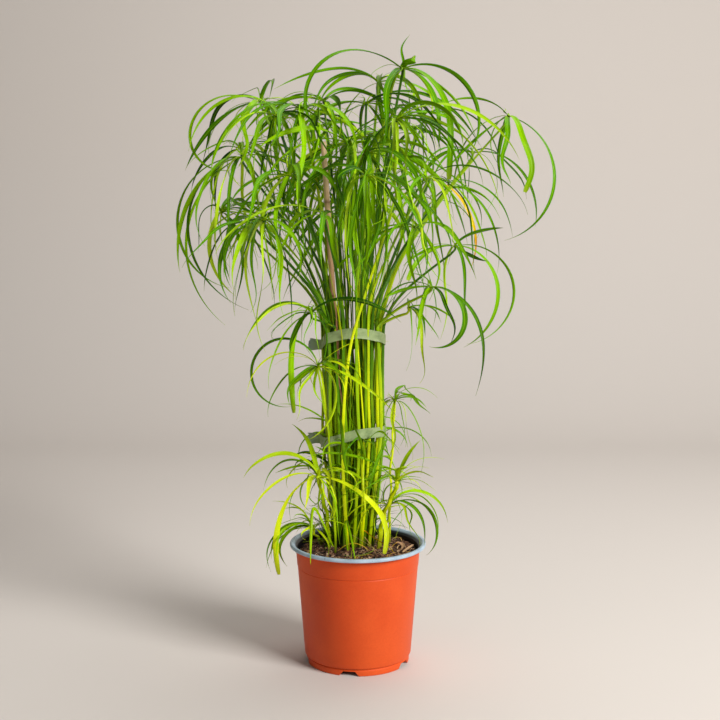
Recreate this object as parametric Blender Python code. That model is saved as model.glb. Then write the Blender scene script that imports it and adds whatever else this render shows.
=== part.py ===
"""A potted umbrella sedge: a plastic pot, its soil, a bamboo cane, two tapes and every culm with its bracts.

Metres, +Z up. The origin is on the pot's axis, on the surface that the pot stands on.
"""

import math

import bmesh
import bpy
import numpy as np
from mathutils import Matrix, Vector

# The pot, a thin wall turned about its axis.
POT_HEIGHT = 0.1515
RIM_RADIUS = 0.085
WALL_RADII = (0.0665, 0.0775)
WALL = 0.0016
LIP_DEPTH = 0.0046
LIP_ROUND = 0.0008
LIP_THICKNESS = 0.0050
BAND_DEPTH = 0.0285
BAND_STEP = 0.0006
FOOT_RADIUS = 0.0645
FOOT_HEIGHT = 0.0075
WALL_FOOT = 0.0095
FLOOR_RADIUS, FLOOR_TOP = 0.060, 0.0055
RECESS = 0.0035
PAD_RADIUS = 0.018
FOOT_RING = 0.006
POT_SIDES = 26

# The drain notches through its foot: how many, how wide below and above, and where the first one is.
NOTCHES = 5
NOTCH_WIDTHS = (0.031, 0.0145)
NOTCH_HEIGHT = 0.006
NOTCH_BEARING = -99.5

# The soil, and the gap that neighbours keep.
GAP = 0.0003
SOIL_TOP = 0.141
SOIL_RINGS = (0.065, 0.056, 0.030, 0.0)
SOIL_EDGE_DROP = 0.002
SOIL_LUMP = 0.001
SOIL_LEVEL_RADIUS = 0.060

# The bundle of culms: it leans forward from its narrow foot to where the two tapes hold it. A parting runs
# through it from front to back.
BUNDLE_X = -0.006
FOOT_BACK = 0.024
BUNDLE_RADIUS = 0.040
SEAT_SPACING, CANE_SPACING = 0.0088, 0.0074
LOWER_HOLD, UPPER_HOLD = 0.290, 0.420
FOOT_SPREAD = 0.68
PARTING_X, PARTING = -0.001, 0.007
TWIST_HEIGHTS, TWISTS = (SOIL_TOP, LOWER_HOLD, UPPER_HOLD), (-9, 3, -5)
FAN_KNEE = 0.35
STRAIGHT_POINTS, FAN_POINTS, SHOOT_POINTS = (40, 35), 90, 60
SEAT_ROUNDS, CANE_CHECKS = 300, 7

# The cane's two ends.
CANE_FOOT = (-0.012, 0.018, SOIL_TOP + 3 * GAP)
CANE_TOP = (-0.0405, -0.030, 0.643)
CANE_RADIUS = 0.0034
CANE_KNOTS = (0.235, 0.345, 0.462, 0.575)
KNOT_SWELL, KNOT_LENGTH = 1.2, 0.006

# A tape: its mean height, then how far it rises to the right, to the back and on both sides.
LOWER_TAPE = (0.2905, 0.008, 0.006, -0.005)
UPPER_TAPE = (0.4035, 0.0015, -0.0105, -0.002)
TAPE_WIDTH = 0.0125
TAPE_THICKNESS = 0.0009
TAPE_RADIUS = 0.0448
TAPE_TAIL = 0.015
TAIL_WIDTH = 0.0027
TAPE_SIDES = 22

# A culm's three-sided stem, and the hub that its bracts grow from.
STEM_RADII = (0.0030, 0.0029, 0.0022)
HUB_RADIUS = 0.0034
HUB_HEIGHT = 0.004
NECK, NECK_STEPS = 0.006, 3
WIDEST_SIDE = 110
WEDGE = 0.85
CULM_RINGS = 7
SHOOT_RINGS = 4

# The bracts: how finely a path is worked out, and how many each culm has here.
BRACT_STEPS = 48
BRACT_BEND = 0.75
BRACTS_EACH = 5
BRACT_RING_TURN = 34
BRACT_RINGS_LEAST = 4
BRACT_KEEL = 0.0007
KEEL_SHARE = 0.24
FIRST_SHARE, FIRST_LENGTH = 0.07, 0.010
ROOT_SHARE = 0.3
TAPER = 0.8

# The bracts that grow by rule: the ranges they are drawn from, and how they lean out of the crown.
SEED = 7
FILL_RISE, FILL_TURN = (15, 55), (85, 135)
FILL_LENGTH, FILL_WIDTH = (0.110, 0.190), (0.0035, 0.0065)
FILL_SWAY = (-45, 45)
LEAN_PER_METRE = 80
INWARD_SHORTER = 0.15
FILL_TRIES = 60
CROWN_RADIUS, CROWN_FOOT, CROWN_TOP = 0.235, 0.385, 0.742

# How a new bract keeps clear of other bearings on its hub and of what has grown.
BEARING_APART = 24
HUB_CLEAR = 0.013
BRACT_CLEAR = 0.009
WIDTH_SHARE, BRACT_MARGIN = 0.4, 0.0022
HUB_ROOM = 0.020
NUDGES = (0, 5, -5, 10, -10, 15, -15, 20, -20)

# A culm: its hub's place, then its hand-set bracts.
# A bract: bearing, rise and turn in degrees, length, width and, where it isn't the usual, its bend.
CULMS = (
    ((0.053, -0.010, 0.729), (
        (182, 34, 215, 0.235, 0.005, 1.35), (3, 22, 150, 0.178, 0.005, 1.0),
        (-14, 10, 112, 0.116, 0.006, 0.5), (-32, 12, 115, 0.172, 0.0065, 0.6),
        (-112, 15, 110, 0.145, 0.006, 0.5), (-50, 28, 30, 0.042, 0.008, 1.0),
        (60, 68, -20, 0.042, 0.0025, 1.0))),
    ((0.025, 0.040, 0.718), (
        (168, 50, 130, 0.100, 0.004, 0.8), (205, 45, 120, 0.120, 0.004), (-60, 35, 115, 0.120, 0.005))),
    ((-0.041, 0.020, 0.693), (
        (8, 50, 120, 0.125, 0.004), (-70, 30, 120, 0.130, 0.005), (150, 45, 120, 0.120, 0.004))),
    ((-0.066, -0.022, 0.680), ((-35, 30, 110, 0.120, 0.005), (-150, 35, 115, 0.130, 0.004))),
    ((-0.118, 0.020, 0.693), (
        (180, 24, 235, 0.200, 0.004, 1.3), (190, 2, 70, 0.130, 0.006, 0.6),
        (-105, 22, 112, 0.120, 0.008, 0.6))),
    ((-0.096, -0.030, 0.672), ((178, 84, 165, 0.148, 0.004, 0.6),)),
    ((0.010, 0.012, 0.690), ((-20, 35, 120, 0.130, 0.005),)),
    ((0.181, 0.000, 0.675), (
        (-64, 6, 104, 0.112, 0.0075, 0.5), (-102, -10, 120, 0.100, 0.005, 0.8),
        (95, 0, 112, 0.120, 0.004, 0.7), (-6, -16, 150, 0.202, 0.004, 1.0),
        (186, -28, 24, 0.108, 0.0035), (165, 52, 80, 0.090, 0.003, 0.9))),
    ((-0.138, -0.020, 0.625), (
        (196, -5, 95, 0.172, 0.006, 0.7), (176, 2, 172, 0.235, 0.004, 1.0),
        (160, -20, 125, 0.250, 0.003, 1.0))),
    ((-0.080, -0.060, 0.602), ((-120, 30, 115, 0.130, 0.005),)),
    ((-0.038, -0.088, 0.556), ((-90, 30, 110, 0.120, 0.005),)),
    ((0.009, -0.040, 0.628), ((-60, 30, 110, 0.140, 0.006),)),
    ((0.065, -0.070, 0.542), ((-40, 35, 120, 0.120, 0.005),)),
    ((0.117, -0.020, 0.520), (
        (4, 12, 190, 0.198, 0.003, 1.0), (-35, 45, 45, 0.068, 0.005), (-18, 5, 160, 0.168, 0.0045, 0.8),
        (-70, -20, -20, 0.100, 0.0035), (182, 8, 50, 0.070, 0.004))),
    ((0.086, -0.058, 0.473), (
        (-12, 0, 195, 0.124, 0.006, 1.1), (190, 5, 30, 0.058, 0.006), (-35, 5, 120, 0.165, 0.0035, 0.8))),
    ((0.141, 0.030, 0.632), ((-5, 20, 120, 0.140, 0.004),)),
    ((0.088, 0.050, 0.600), ()),
    ((-0.010, -0.006, 0.640), ()),
    ((-0.150, 0.090, 0.640), ()),
    ((-0.060, 0.120, 0.680), ()),
    ((0.030, 0.140, 0.660), ()),
    ((0.085, 0.100, 0.684), ()),
    ((0.118, 0.118, 0.600), ()),
    ((-0.170, 0.040, 0.560), ()),
    ((-0.100, 0.140, 0.580), ()),
    ((0.000, 0.165, 0.570), ()),
    ((0.100, 0.150, 0.575), ()),
    ((0.078, -0.098, 0.598), ()),
    ((0.010, -0.125, 0.600), ()),
    ((-0.105, -0.110, 0.550), ()),
    ((-0.020, 0.080, 0.610), ()),
    ((0.070, 0.040, 0.655), ()),
    ((-0.118, -0.070, 0.545), ()),
    ((0.045, -0.060, 0.665), ()),
    ((-0.054, -0.060, 0.442), (
        (172, 60, 160, 0.128, 0.008, 0.15), (215, 5, 95, 0.060, 0.006, 0.5), (-60, 40, 100, 0.060, 0.004))),
    ((0.061, -0.030, 0.446), (
        (-4, 25, 70, 0.062, 0.0035), (-25, -10, 60, 0.055, 0.003), (-60, 20, 100, 0.060, 0.003),
        (30, 30, 90, 0.060, 0.003))),
)

# A low shoot outside the bundle: its foot, its hub, then its bracts.
SHOOTS = (
    ((-0.0365, 0.004, SOIL_TOP), (-0.0485, -0.030, 0.2395), (
        (184, 8, 110, 0.145, 0.008, 0.45), (-10, -5, 98, 0.140, 0.007, 1.3), (172, 78, 140, 0.118, 0.004),
        (-110, 30, 100, 0.070, 0.004), (125, 75, 60, 0.090, 0.004))),
    ((0.027, 0.006, SOIL_TOP), (0.0475, -0.030, 0.2325), (
        (12, 78, 30, 0.060, 0.005), (75, 84, 20, 0.074, 0.005), (-35, 55, 70, 0.062, 0.005),
        (-80, 65, 60, 0.060, 0.004))),
    ((-0.046, 0.016, SOIL_TOP), (-0.055, -0.008, 0.168), (
        (183, 35, 170, 0.085, 0.0035, 0.9), (205, 60, 150, 0.080, 0.003), (165, 50, 150, 0.090, 0.003))),
    ((0.034, 0.018, SOIL_TOP), (0.040, -0.006, 0.199), (
        (-4, 38, 175, 0.118, 0.0035, 0.9), (25, 60, 140, 0.110, 0.003), (-40, 50, 150, 0.090, 0.003))),
    ((-0.028, -0.019, SOIL_TOP), (-0.047, -0.055, 0.378), (
        (180, 78, 268, 0.192, 0.0035, 1.0), (195, -20, 30, 0.050, 0.004), (-60, 50, 110, 0.060, 0.004),
        (-130, 20, 100, 0.075, 0.003))),
    ((0.040, 0.030, SOIL_TOP), (0.046, 0.016, 0.326), (
        (-5, 45, 95, 0.045, 0.003), (-35, 60, 130, 0.060, 0.003), (60, 50, 100, 0.050, 0.003))),
)


def bract_path(hub, bearing, rise, turn, length, bend=BRACT_BEND, sway=0.0):
    """A bract's centre line: its slope falls from its rise by its turn, and its heading sways to one side."""
    along = np.linspace(0.0, 1.0, BRACT_STEPS + 1)
    slope = np.radians(rise - turn * along**bend)
    heading = np.radians(bearing + sway * along**2)
    level = np.cos(slope)
    way = np.stack([level * np.cos(heading), level * np.sin(heading), np.sin(slope)], axis=1)
    strides = (way[1:] + way[:-1]) * length / BRACT_STEPS / 2
    return np.vstack([hub, hub + np.cumsum(strides, axis=0)])


def bundle_axis(height):
    """The middle of the bundle at a height."""
    return np.array([BUNDLE_X, np.interp(height, (SOIL_TOP, UPPER_HOLD), (FOOT_BACK, 0.0))])


def spread(height):
    """How wide the bundle is at a height, as a share of its width at the tapes."""
    return np.interp(height, (SOIL_TOP, LOWER_HOLD), (FOOT_SPREAD, 1.0))


def turned_about(offset, degrees):
    """An offset from the bundle's middle, turned about it."""
    c, s = math.cos(math.radians(degrees)), math.sin(math.radians(degrees))
    x, y = offset[..., 0], offset[..., 1]
    return np.stack([x * c - y * s, x * s + y * c], axis=-1)


def seat_place(seat, height):
    """Where a culm of the bundle passes a height: the bundle twists, narrows to its foot and leans."""
    twist = np.interp(height, TWIST_HEIGHTS, TWISTS)
    return np.array([*bundle_axis(height) + turned_about(seat, twist) * spread(height), height])


def cane_seats():
    """Where the cane passes through the bundle at a few heights, as seats with the room that it needs."""
    for height in np.linspace(SOIL_TOP, UPPER_HOLD, CANE_CHECKS):
        share = (height - CANE_FOOT[2]) / (CANE_TOP[2] - CANE_FOOT[2])
        place = np.array(CANE_FOOT[:2]) + share * (np.array(CANE_TOP[:2]) - CANE_FOOT[:2])
        twist = np.interp(height, TWIST_HEIGHTS, TWISTS)
        seat = turned_about(place - bundle_axis(height), -twist)
        yield seat / spread(height), CANE_SPACING / spread(height)


def bundle_seats():
    """Each culm's place in the bundle: towards its hub, clear of the others, the cane and the parting."""
    hubs = np.array([hub for hub, _ in CULMS])
    lean = (hubs[:, :2] - (BUNDLE_X, 0)) / (hubs[:, 2:] - LOWER_HOLD)
    size = np.linalg.norm(lean, axis=1, keepdims=True)
    seats = lean / size * (size / size.max()) ** 0.5 * BUNDLE_RADIUS
    for _ in range(SEAT_ROUNDS):
        apart = seats[:, None] - seats[None]
        distance = np.linalg.norm(apart, axis=2) + np.eye(len(seats))
        push = np.clip(SEAT_SPACING - distance, 0, None) / 2
        seats = seats + (apart / distance[..., None] * push[..., None]).sum(axis=1)
        for cane, room in cane_seats():
            away = seats - cane
            distance = np.linalg.norm(away, axis=1, keepdims=True)
            seats = seats + away / distance * np.clip(room - distance, 0, None)
        aside = seats[:, 0] - PARTING_X
        seats[:, 0] += np.sign(aside) * np.clip(PARTING - np.abs(aside), 0, None)
        reach = np.linalg.norm(seats, axis=1, keepdims=True)
        seats = seats / np.clip(reach / BUNDLE_RADIUS, 1, None)
    return seats


def arc(start, knee, end, points):
    """A smooth bend from start to end that leaves and arrives along the lines to its knee."""
    t = np.linspace(0.0, 1.0, points)[:, None]
    return (1 - t) ** 2 * start + 2 * t * (1 - t) * knee + t**2 * end


def culm_path(seat, hub):
    """A culm's centre line: straight through the two tapes, one smooth bend outwards and an upright neck."""
    foot, low, high = (seat_place(seat, height) for height in (SOIL_TOP + GAP, LOWER_HOLD, UPPER_HOLD))
    neck = np.array(hub) - (0, 0, NECK)
    knee = high + (0, 0, FAN_KNEE * (neck - high)[2])
    below, between = STRAIGHT_POINTS
    return np.vstack([np.linspace(foot, low, below)[:-1], np.linspace(low, high, between)[:-1],
                      arc(high, knee, neck, FAN_POINTS)[:-1], np.linspace(neck, hub, NECK_STEPS + 1)])


def shoot_path(foot, hub):
    """A low shoot's centre line, upright at its foot."""
    foot, neck = np.array(foot) + (0, 0, GAP), np.array(hub) - (0, 0, NECK)
    knee = foot + (0, 0, (neck - foot)[2] / 2)
    return np.vstack([arc(foot, knee, neck, SHOOT_POINTS)[:-1], np.linspace(neck, hub, NECK_STEPS + 1)])


class Room:
    """The places already taken, as points with a width, so that a new bract can be kept clear of them."""

    def __init__(self):
        self.points = np.empty((0, 3))
        self.widths = np.empty(0)

    def take(self, path, width):
        self.points = np.vstack([self.points, path])
        self.widths = np.append(self.widths, np.full(len(path), width))

    def crowded(self, path, width, hub):
        """Whether a path meets something, apart from what is close round its own hub."""
        path = path[np.linalg.norm(path - hub, axis=1) > HUB_CLEAR]
        near = ((self.points > path.min(axis=0) - BRACT_CLEAR)
                & (self.points < path.max(axis=0) + BRACT_CLEAR)).all(axis=1)
        near &= np.linalg.norm(self.points - hub, axis=1) > HUB_CLEAR
        if not near.any():
            return False
        distance = np.linalg.norm(path[:, None] - self.points[near], axis=2)
        return bool((distance < (self.widths[near] + width) * WIDTH_SHARE + BRACT_MARGIN).any())


def grow():
    """Every culm and shoot, as (centre line, bracts), where a bract is (path, bearing, turn, width, sway)."""
    draw = np.random.default_rng(SEED)
    room = Room()
    room.take(np.linspace(CANE_FOOT, CANE_TOP, 90), CANE_RADIUS * 2)
    plants = [(culm_path(seat, hub), []) for seat, (hub, _) in zip(bundle_seats(), CULMS)]
    plants += [(shoot_path(foot, hub), []) for foot, hub, _ in SHOOTS]
    for line, _ in plants:
        room.take(line, STEM_RADII[0] * 2)
        room.take(line[-1:], HUB_ROOM)
    hand_set = [bracts for _, bracts in CULMS] + [bracts for _, _, bracts in SHOOTS]
    for (line, bracts), wanted in zip(plants, hand_set):
        for bract in wanted:
            set_bract(line[-1], bracts, room, bract)
    for line, bracts in plants[:len(CULMS)]:
        fill_umbel(line[-1], bracts, room, draw)
    return plants


def set_bract(hub, bracts, room, bract):
    """Adds a hand-set bract, turned no further than it takes to be clear."""
    wanted, rise, turn, length, width, *bend = bract
    for nudge in NUDGES:
        path = bract_path(hub, wanted + nudge, rise, turn, length, *bend)
        if not room.crowded(path, width, hub):
            bracts.append((path, wanted + nudge, turn, width, 0.0))
            room.take(path, width)
            return


def fill_umbel(hub, bracts, room, draw):
    """Adds bracts by rule, each turned until it is clear of what has grown."""
    reach = math.hypot(hub[0] - BUNDLE_X, hub[1])
    outward = math.degrees(math.atan2(hub[1], hub[0] - BUNDLE_X))
    for _ in range(FILL_TRIES):
        if len(bracts) >= BRACTS_EACH:
            return
        bearing = draw.uniform(-180, 180)
        facing = math.cos(math.radians(bearing - outward))
        rise = draw.uniform(*FILL_RISE) - LEAN_PER_METRE * facing * reach
        turn = draw.uniform(*FILL_TURN)
        length = draw.uniform(*FILL_LENGTH) * (1 - INWARD_SHORTER * (1 - facing))
        width, sway = draw.uniform(*FILL_WIDTH), draw.uniform(*FILL_SWAY)
        beside = any(abs((bearing - other[1] + 180) % 360 - 180) < BEARING_APART for other in bracts)
        path = bract_path(hub, bearing, rise, turn, length, sway=sway)
        inside = (np.hypot(path[:, 0], path[:, 1]).max() < CROWN_RADIUS
                  and path[:, 2].min() > CROWN_FOOT and path[:, 2].max() < CROWN_TOP)
        if inside and not beside and not room.crowded(path, width, hub):
            bracts.append((path, bearing, turn, width, sway))
            room.take(path, width)


def new_material(name, colour, roughness):
    material = bpy.data.materials.new(name)
    material.use_nodes = True
    shader = material.node_tree.nodes["Principled BSDF"]
    shader.inputs["Base Color"].default_value = (*colour, 1.0)
    shader.inputs["Roughness"].default_value = roughness
    shader.inputs["Metallic"].default_value = 0.0
    return material


def finish_object(name, bm, material, smooth=True):
    """Turns a bmesh into a named object whose faces point out."""
    bmesh.ops.recalc_face_normals(bm, faces=bm.faces)
    if bm.calc_volume(signed=True) < 0:
        bmesh.ops.reverse_faces(bm, faces=bm.faces)
    mesh = bpy.data.meshes.new(name)
    bm.to_mesh(mesh)
    bm.free()
    mesh.materials.append(material)
    if smooth:
        mesh.shade_smooth()
        mesh.set_sharp_from_angle(angle=math.radians(40))
    found = bpy.data.objects.new(name, mesh)
    bpy.context.scene.collection.objects.link(found)
    return found


def turned(profile, sides):
    """A bmesh of an (r, z) outline turned about the Z axis; a point at r = 0 becomes one vertex."""
    bm = bmesh.new()
    ring = [bm.verts.new((r, 0, z)) for r, z in profile]
    edges = [bm.edges.new(pair) for pair in zip(ring, ring[1:])]
    bmesh.ops.spin(bm, geom=ring + edges, axis=(0, 0, 1), cent=(0, 0, 0),
                   steps=sides, angle=math.tau, use_merge=False)
    bmesh.ops.remove_doubles(bm, verts=bm.verts, dist=1e-6)
    return bm


def pot_radius(height):
    """The wall's outer radius, from the top of the foot up to the lip."""
    return float(np.interp(height, (FOOT_HEIGHT, POT_HEIGHT), WALL_RADII))


def pot_profile():
    """The pot's outline: along its underside, up the outside, over the lip and down the inside."""
    band = POT_HEIGHT - BAND_DEPTH
    lip = POT_HEIGHT - LIP_DEPTH
    underside = [
        (0.0, 0.0), (PAD_RADIUS, 0.0), (PAD_RADIUS + RECESS, RECESS),
        (FOOT_RADIUS - FOOT_RING - RECESS / 2, RECESS), (FOOT_RADIUS - FOOT_RING, 0.0), (FOOT_RADIUS, 0.0),
    ]
    outside = [
        (FOOT_RADIUS, FOOT_HEIGHT), (pot_radius(WALL_FOOT), WALL_FOOT),
        (pot_radius(band), band - BAND_STEP), (pot_radius(band) + BAND_STEP, band + BAND_STEP),
    ]
    over_lip = [
        (pot_radius(lip) + BAND_STEP, lip), (RIM_RADIUS - LIP_ROUND, lip + LIP_ROUND),
        (RIM_RADIUS, lip + 3 * LIP_ROUND), (RIM_RADIUS - LIP_ROUND, POT_HEIGHT - LIP_ROUND),
        (RIM_RADIUS - 3 * LIP_ROUND, POT_HEIGHT), (RIM_RADIUS - LIP_THICKNESS, POT_HEIGHT),
    ]
    inside = [
        (pot_radius(lip) - WALL, lip), (pot_radius(WALL_FOOT) - WALL, WALL_FOOT),
        (FLOOR_RADIUS, FLOOR_TOP), (0.0, FLOOR_TOP),
    ]
    return underside + outside + over_lip + inside


def make_pot():
    """The pot, with notches cut through its foot so that water can drain."""
    bm = turned(pot_profile(), POT_SIDES)
    pot = finish_object("pot", bm, new_material("terracotta_plastic", (0.58, 0.065, 0.022), 0.42))
    for number in range(1, NOTCHES + 1):
        cut = pot.modifiers.new(f"notch_{number}", "BOOLEAN")
        cut.operation, cut.solver, cut.object = "DIFFERENCE", "EXACT", make_notch_cutter(number)
    return pot


def make_notch_cutter(number):
    """A wedge through the foot's ring, wide at the bottom."""
    wide, narrow = (width / 2 for width in NOTCH_WIDTHS)
    inside, outside = FOOT_RADIUS - 2 * FOOT_RING, FOOT_RADIUS + FOOT_RING
    outline = [(-wide, -RECESS), (wide, -RECESS), (narrow, NOTCH_HEIGHT), (-narrow, NOTCH_HEIGHT)]
    bm = bmesh.new()
    face = bm.faces.new([bm.verts.new((inside, y, z)) for y, z in outline])
    grown = bmesh.ops.extrude_face_region(bm, geom=[face])["geom"]
    moved = [item for item in grown if isinstance(item, bmesh.types.BMVert)]
    bmesh.ops.translate(bm, vec=(outside - inside, 0, 0), verts=moved)
    grey = new_material(f"cutter_{number}", (0.5, 0.5, 0.5), 0.5)
    cutter = finish_object(f"notch_cutter_{number}", bm, grey, smooth=False)
    cutter.rotation_euler.z = math.radians(NOTCH_BEARING + 360 / NOTCHES * (number - 1))
    cutter.hide_render = True
    cutter.display_type = "WIRE"
    return cutter


def make_soil():
    """Peat that fills the pot: level where the culms stand, uneven from there to the wall."""
    edge = SOIL_TOP - SOIL_EDGE_DROP
    profile = [(0.0, FLOOR_TOP + GAP), (FLOOR_RADIUS - 2 * GAP, FLOOR_TOP + GAP)]
    profile += [(pot_radius(height) - WALL - GAP, height + GAP / 2) for height in (WALL_FOOT, edge)]
    profile += [(r, SOIL_TOP) for r in SOIL_RINGS]
    bm = turned(profile, POT_SIDES)
    for vertex in bm.verts:
        out = math.hypot(vertex.co.x, vertex.co.y)
        if vertex.co.z > edge + GAP and out > SOIL_LEVEL_RADIUS:
            bearing = math.atan2(vertex.co.y, vertex.co.x)
            vertex.co.z += SOIL_LUMP * (math.sin(5 * bearing + 90 * out) + math.sin(11 * bearing) / 2)
    return finish_object("soil", bm, new_material("moist_peat", (0.045, 0.022, 0.012), 0.95))


def make_cane():
    """A bamboo cane with its knots, pushed into the soil among the culms."""
    foot, top = Vector(CANE_FOOT), Vector(CANE_TOP)
    profile = [(0.0, 0.0), (CANE_RADIUS, 0.0)]
    for knot in CANE_KNOTS:
        height = knot - foot.z
        profile += [(CANE_RADIUS, height - KNOT_LENGTH / 2), (CANE_RADIUS * KNOT_SWELL, height),
                    (CANE_RADIUS, height + KNOT_LENGTH / 2)]
    length = (top - foot).length
    profile += [(CANE_RADIUS, length), (0.0, length)]
    bm = turned(profile, 6)
    bmesh.ops.rotate(bm, cent=(0, 0, 0), verts=bm.verts,
                     matrix=Vector((0, 0, 1)).rotation_difference(top - foot).to_matrix())
    bmesh.ops.translate(bm, vec=foot, verts=bm.verts)
    return finish_object("bamboo_cane", bm, new_material("dry_bamboo", (0.55, 0.33, 0.15), 0.6))


def make_tape(name, tape):
    """A tape closed round the bundle, whose two ends are pressed together in a short tail on the left."""
    middle, right, back, sides = tape
    x, y = bundle_axis(middle)
    bm = bmesh.new()
    tail = TAIL_WIDTH / 2 / TAPE_RADIUS
    turns = [tail] + [math.tau * k / TAPE_SIDES for k in range(1, TAPE_SIDES)] + [math.tau - tail]
    outer = TAPE_RADIUS + TAPE_THICKNESS
    corners = [(TAPE_RADIUS, -1), (TAPE_RADIUS, 1), (outer, 1), (outer, -1)]
    rings = []
    for turn in turns:
        c, s = math.cos(math.pi + turn), math.sin(math.pi + turn)
        height = middle + right * c + back * s + sides * math.cos(2 * turn)
        places = [(x + r * c, y + r * s, height + edge * TAPE_WIDTH / 2) for r, edge in corners]
        rings.append([bm.verts.new(place) for place in places])
    for ring, after in zip(rings, rings[1:] + rings[:1]):
        walls = [bm.faces.new((ring[k], ring[k - 3], after[k - 3], after[k])) for k in range(4)]
    tail_end = bmesh.ops.extrude_discrete_faces(bm, faces=[walls[2]])["faces"][0]
    bmesh.ops.translate(bm, vec=(-TAPE_TAIL, 0, 0), verts=tail_end.verts)
    return finish_object(name, bm, new_material(name + "_green", (0.19, 0.25, 0.15), 0.45))


def cross_ring(centre, along, radius):
    """Three points round a stem's centre line."""
    along = Vector(along).normalized()
    across = (Vector((1, 0, 0)) - along * along.x).normalized()
    beside = along.cross(across)
    angles = [math.tau * k / 3 for k in range(3)]
    return [Vector(centre) + radius * (math.cos(a) * across + math.sin(a) * beside) for a in angles]


def make_plant(name, line, bracts, rings, material):
    """A culm or a shoot: its three-sided stem, its hub and the bracts that grow out of the hub's sides."""
    bm = bmesh.new()
    hub = Vector(line[-1])
    top = grow_stem(bm, line, rings)
    bearings = hub_bearings([bract[1] for bract in bracts])
    roots = grow_hub(bm, hub, top, bearings)
    for bract in bracts:
        side = bearings.index(bract[1])
        gaps = [abs(bearings[side] - bearings[side - 1]) % 360,
                abs(bearings[(side + 1) % len(bearings)] - bearings[side]) % 360]
        room = min(min(gap, 360 - gap) for gap in gaps)
        grow_bract(bm, roots[side], bract, WEDGE * math.tan(math.radians(room / 2)))
    return finish_object(name, bm, material)


def grow_stem(bm, line, rings):
    """A closed foot and three-sided walls that end just under the hub, as a ring that it returns."""
    last = len(line) - 1 - NECK_STEPS
    stops = [round(k * last / (rings - 1)) for k in range(rings)]
    below = None
    for stop in stops:
        radius = float(np.interp(stop / last, (0, 0.5, 1), STEM_RADII))
        along = line[stop + 1] - line[stop - 1] if stop else (0, 0, 1)
        ring = [bm.verts.new(place) for place in cross_ring(line[stop], along, radius)]
        if below is None:
            bm.faces.new(ring[::-1])
        else:
            for k in range(3):
                bm.faces.new((below[k], below[k - 2], ring[k - 2], ring[k]))
        below = ring
    return below


def hub_bearings(bearings):
    """The hub's sides: one for each bract, and plain ones where two bracts are far apart."""
    sides = sorted(bearings, key=lambda bearing: bearing % 360)
    while True:
        gaps = [(after - side) % 360 or 360 for side, after in zip(sides, sides[1:] + sides[:1])]
        widest = gaps.index(max(gaps))
        if gaps[widest] <= WIDEST_SIDE:
            return sides
        sides.insert(widest + 1, (sides[widest] + gaps[widest] / 2) % 360)


def grow_hub(bm, hub, top, bearings):
    """A low crown on the stem, with a three-cornered side for each bearing. It returns those sides."""
    after = bearings[1:] + bearings[:1]
    between = [side + ((next_side - side) % 360) / 2 for side, next_side in zip(bearings, after)]
    low, high = ([bm.verts.new(hub + Vector((HUB_RADIUS * math.cos(math.radians(bearing)),
                                             HUB_RADIUS * math.sin(math.radians(bearing)), height)))
                  for bearing in ring]
                 for ring, height in ((bearings, -HUB_HEIGHT / 2), (between, HUB_HEIGHT / 2)))
    roots = [bm.faces.new((low[k], high[k], high[k - 1])) for k in range(len(low))]
    for k in range(len(low)):
        bm.faces.new((low[k - 1], low[k], high[k - 1]))
    crown = bmesh.ops.poke(bm, faces=[bm.faces.new(high)])["verts"][0]
    crown.co.z += HUB_HEIGHT / 2
    rims = [bm.edges.get((ring[k], ring[k - 1])) for ring in (top, low) for k in range(len(ring))]
    bmesh.ops.bridge_loops(bm, edges=rims)
    return roots


def grow_bract(bm, face, bract, wedge):
    """Draws a side of the hub out along a bract's path into a keeled blade that ends in a point."""
    path, bearing, turn, width, sway = bract
    hub = Vector(path[0])
    out = Vector((math.cos(math.radians(bearing)), math.sin(math.radians(bearing)), 0))
    side = Vector((-out.y, out.x, 0))
    root = face.calc_center_median()
    corners = sorted(face.verts, key=lambda vertex: (vertex.co - root).dot(side))
    order = [corners.index(vertex) for vertex in face.verts]
    length = float(np.linalg.norm(np.diff(path, axis=0), axis=1).sum())
    first = max(FIRST_SHARE, FIRST_LENGTH / length)
    rings = max(BRACT_RINGS_LEAST, round(turn / BRACT_RING_TURN))
    for k in range(rings):
        share = first + (1 - first) * k / rings
        step = share * BRACT_STEPS
        low = min(int(step), BRACT_STEPS - 1)
        along = Vector(path[low + 1] - path[low])
        centre = Vector(path[low]) + along * (step - low)
        centre += (root - hub) * max(0.0, 1 - share / ROOT_SHARE)
        half = width / 2 * min(1.0, 1 - ROOT_SHARE + share) * (1 - TAPER * share**3)
        half = min(half, wedge * max((centre - hub).dot(out), HUB_RADIUS))
        across = Matrix.Rotation(math.radians(sway * share**2), 3, "Z") @ side
        keel = across.cross(along.normalized()) * (BRACT_KEEL + KEEL_SHARE * half)
        put = (centre - across * half, centre + keel, centre + across * half)
        face = bmesh.ops.extrude_discrete_faces(bm, faces=[face])["faces"][0]
        for vertex, corner in zip(face.verts, order):
            vertex.co = put[corner]
    tip = bmesh.ops.poke(bm, faces=[face])["verts"][0]
    tip.co = Vector(path[-1])


for leftover in list(bpy.data.objects):
    bpy.data.objects.remove(leftover)
make_pot()
make_soil()
make_cane()
make_tape("tape_lower", LOWER_TAPE)
make_tape("tape_upper", UPPER_TAPE)
culm_green = new_material("culm_green", (0.10, 0.27, 0.015), 0.4)
shoot_green = new_material("shoot_green", (0.22, 0.42, 0.02), 0.4)
for number, (line, bracts) in enumerate(grow(), 1):
    if number <= len(CULMS):
        make_plant(f"culm_{number:02}", line, bracts, CULM_RINGS, culm_green)
    else:
        make_plant(f"shoot_{number - len(CULMS)}", line, bracts, SHOOT_RINGS, shoot_green)
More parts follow.
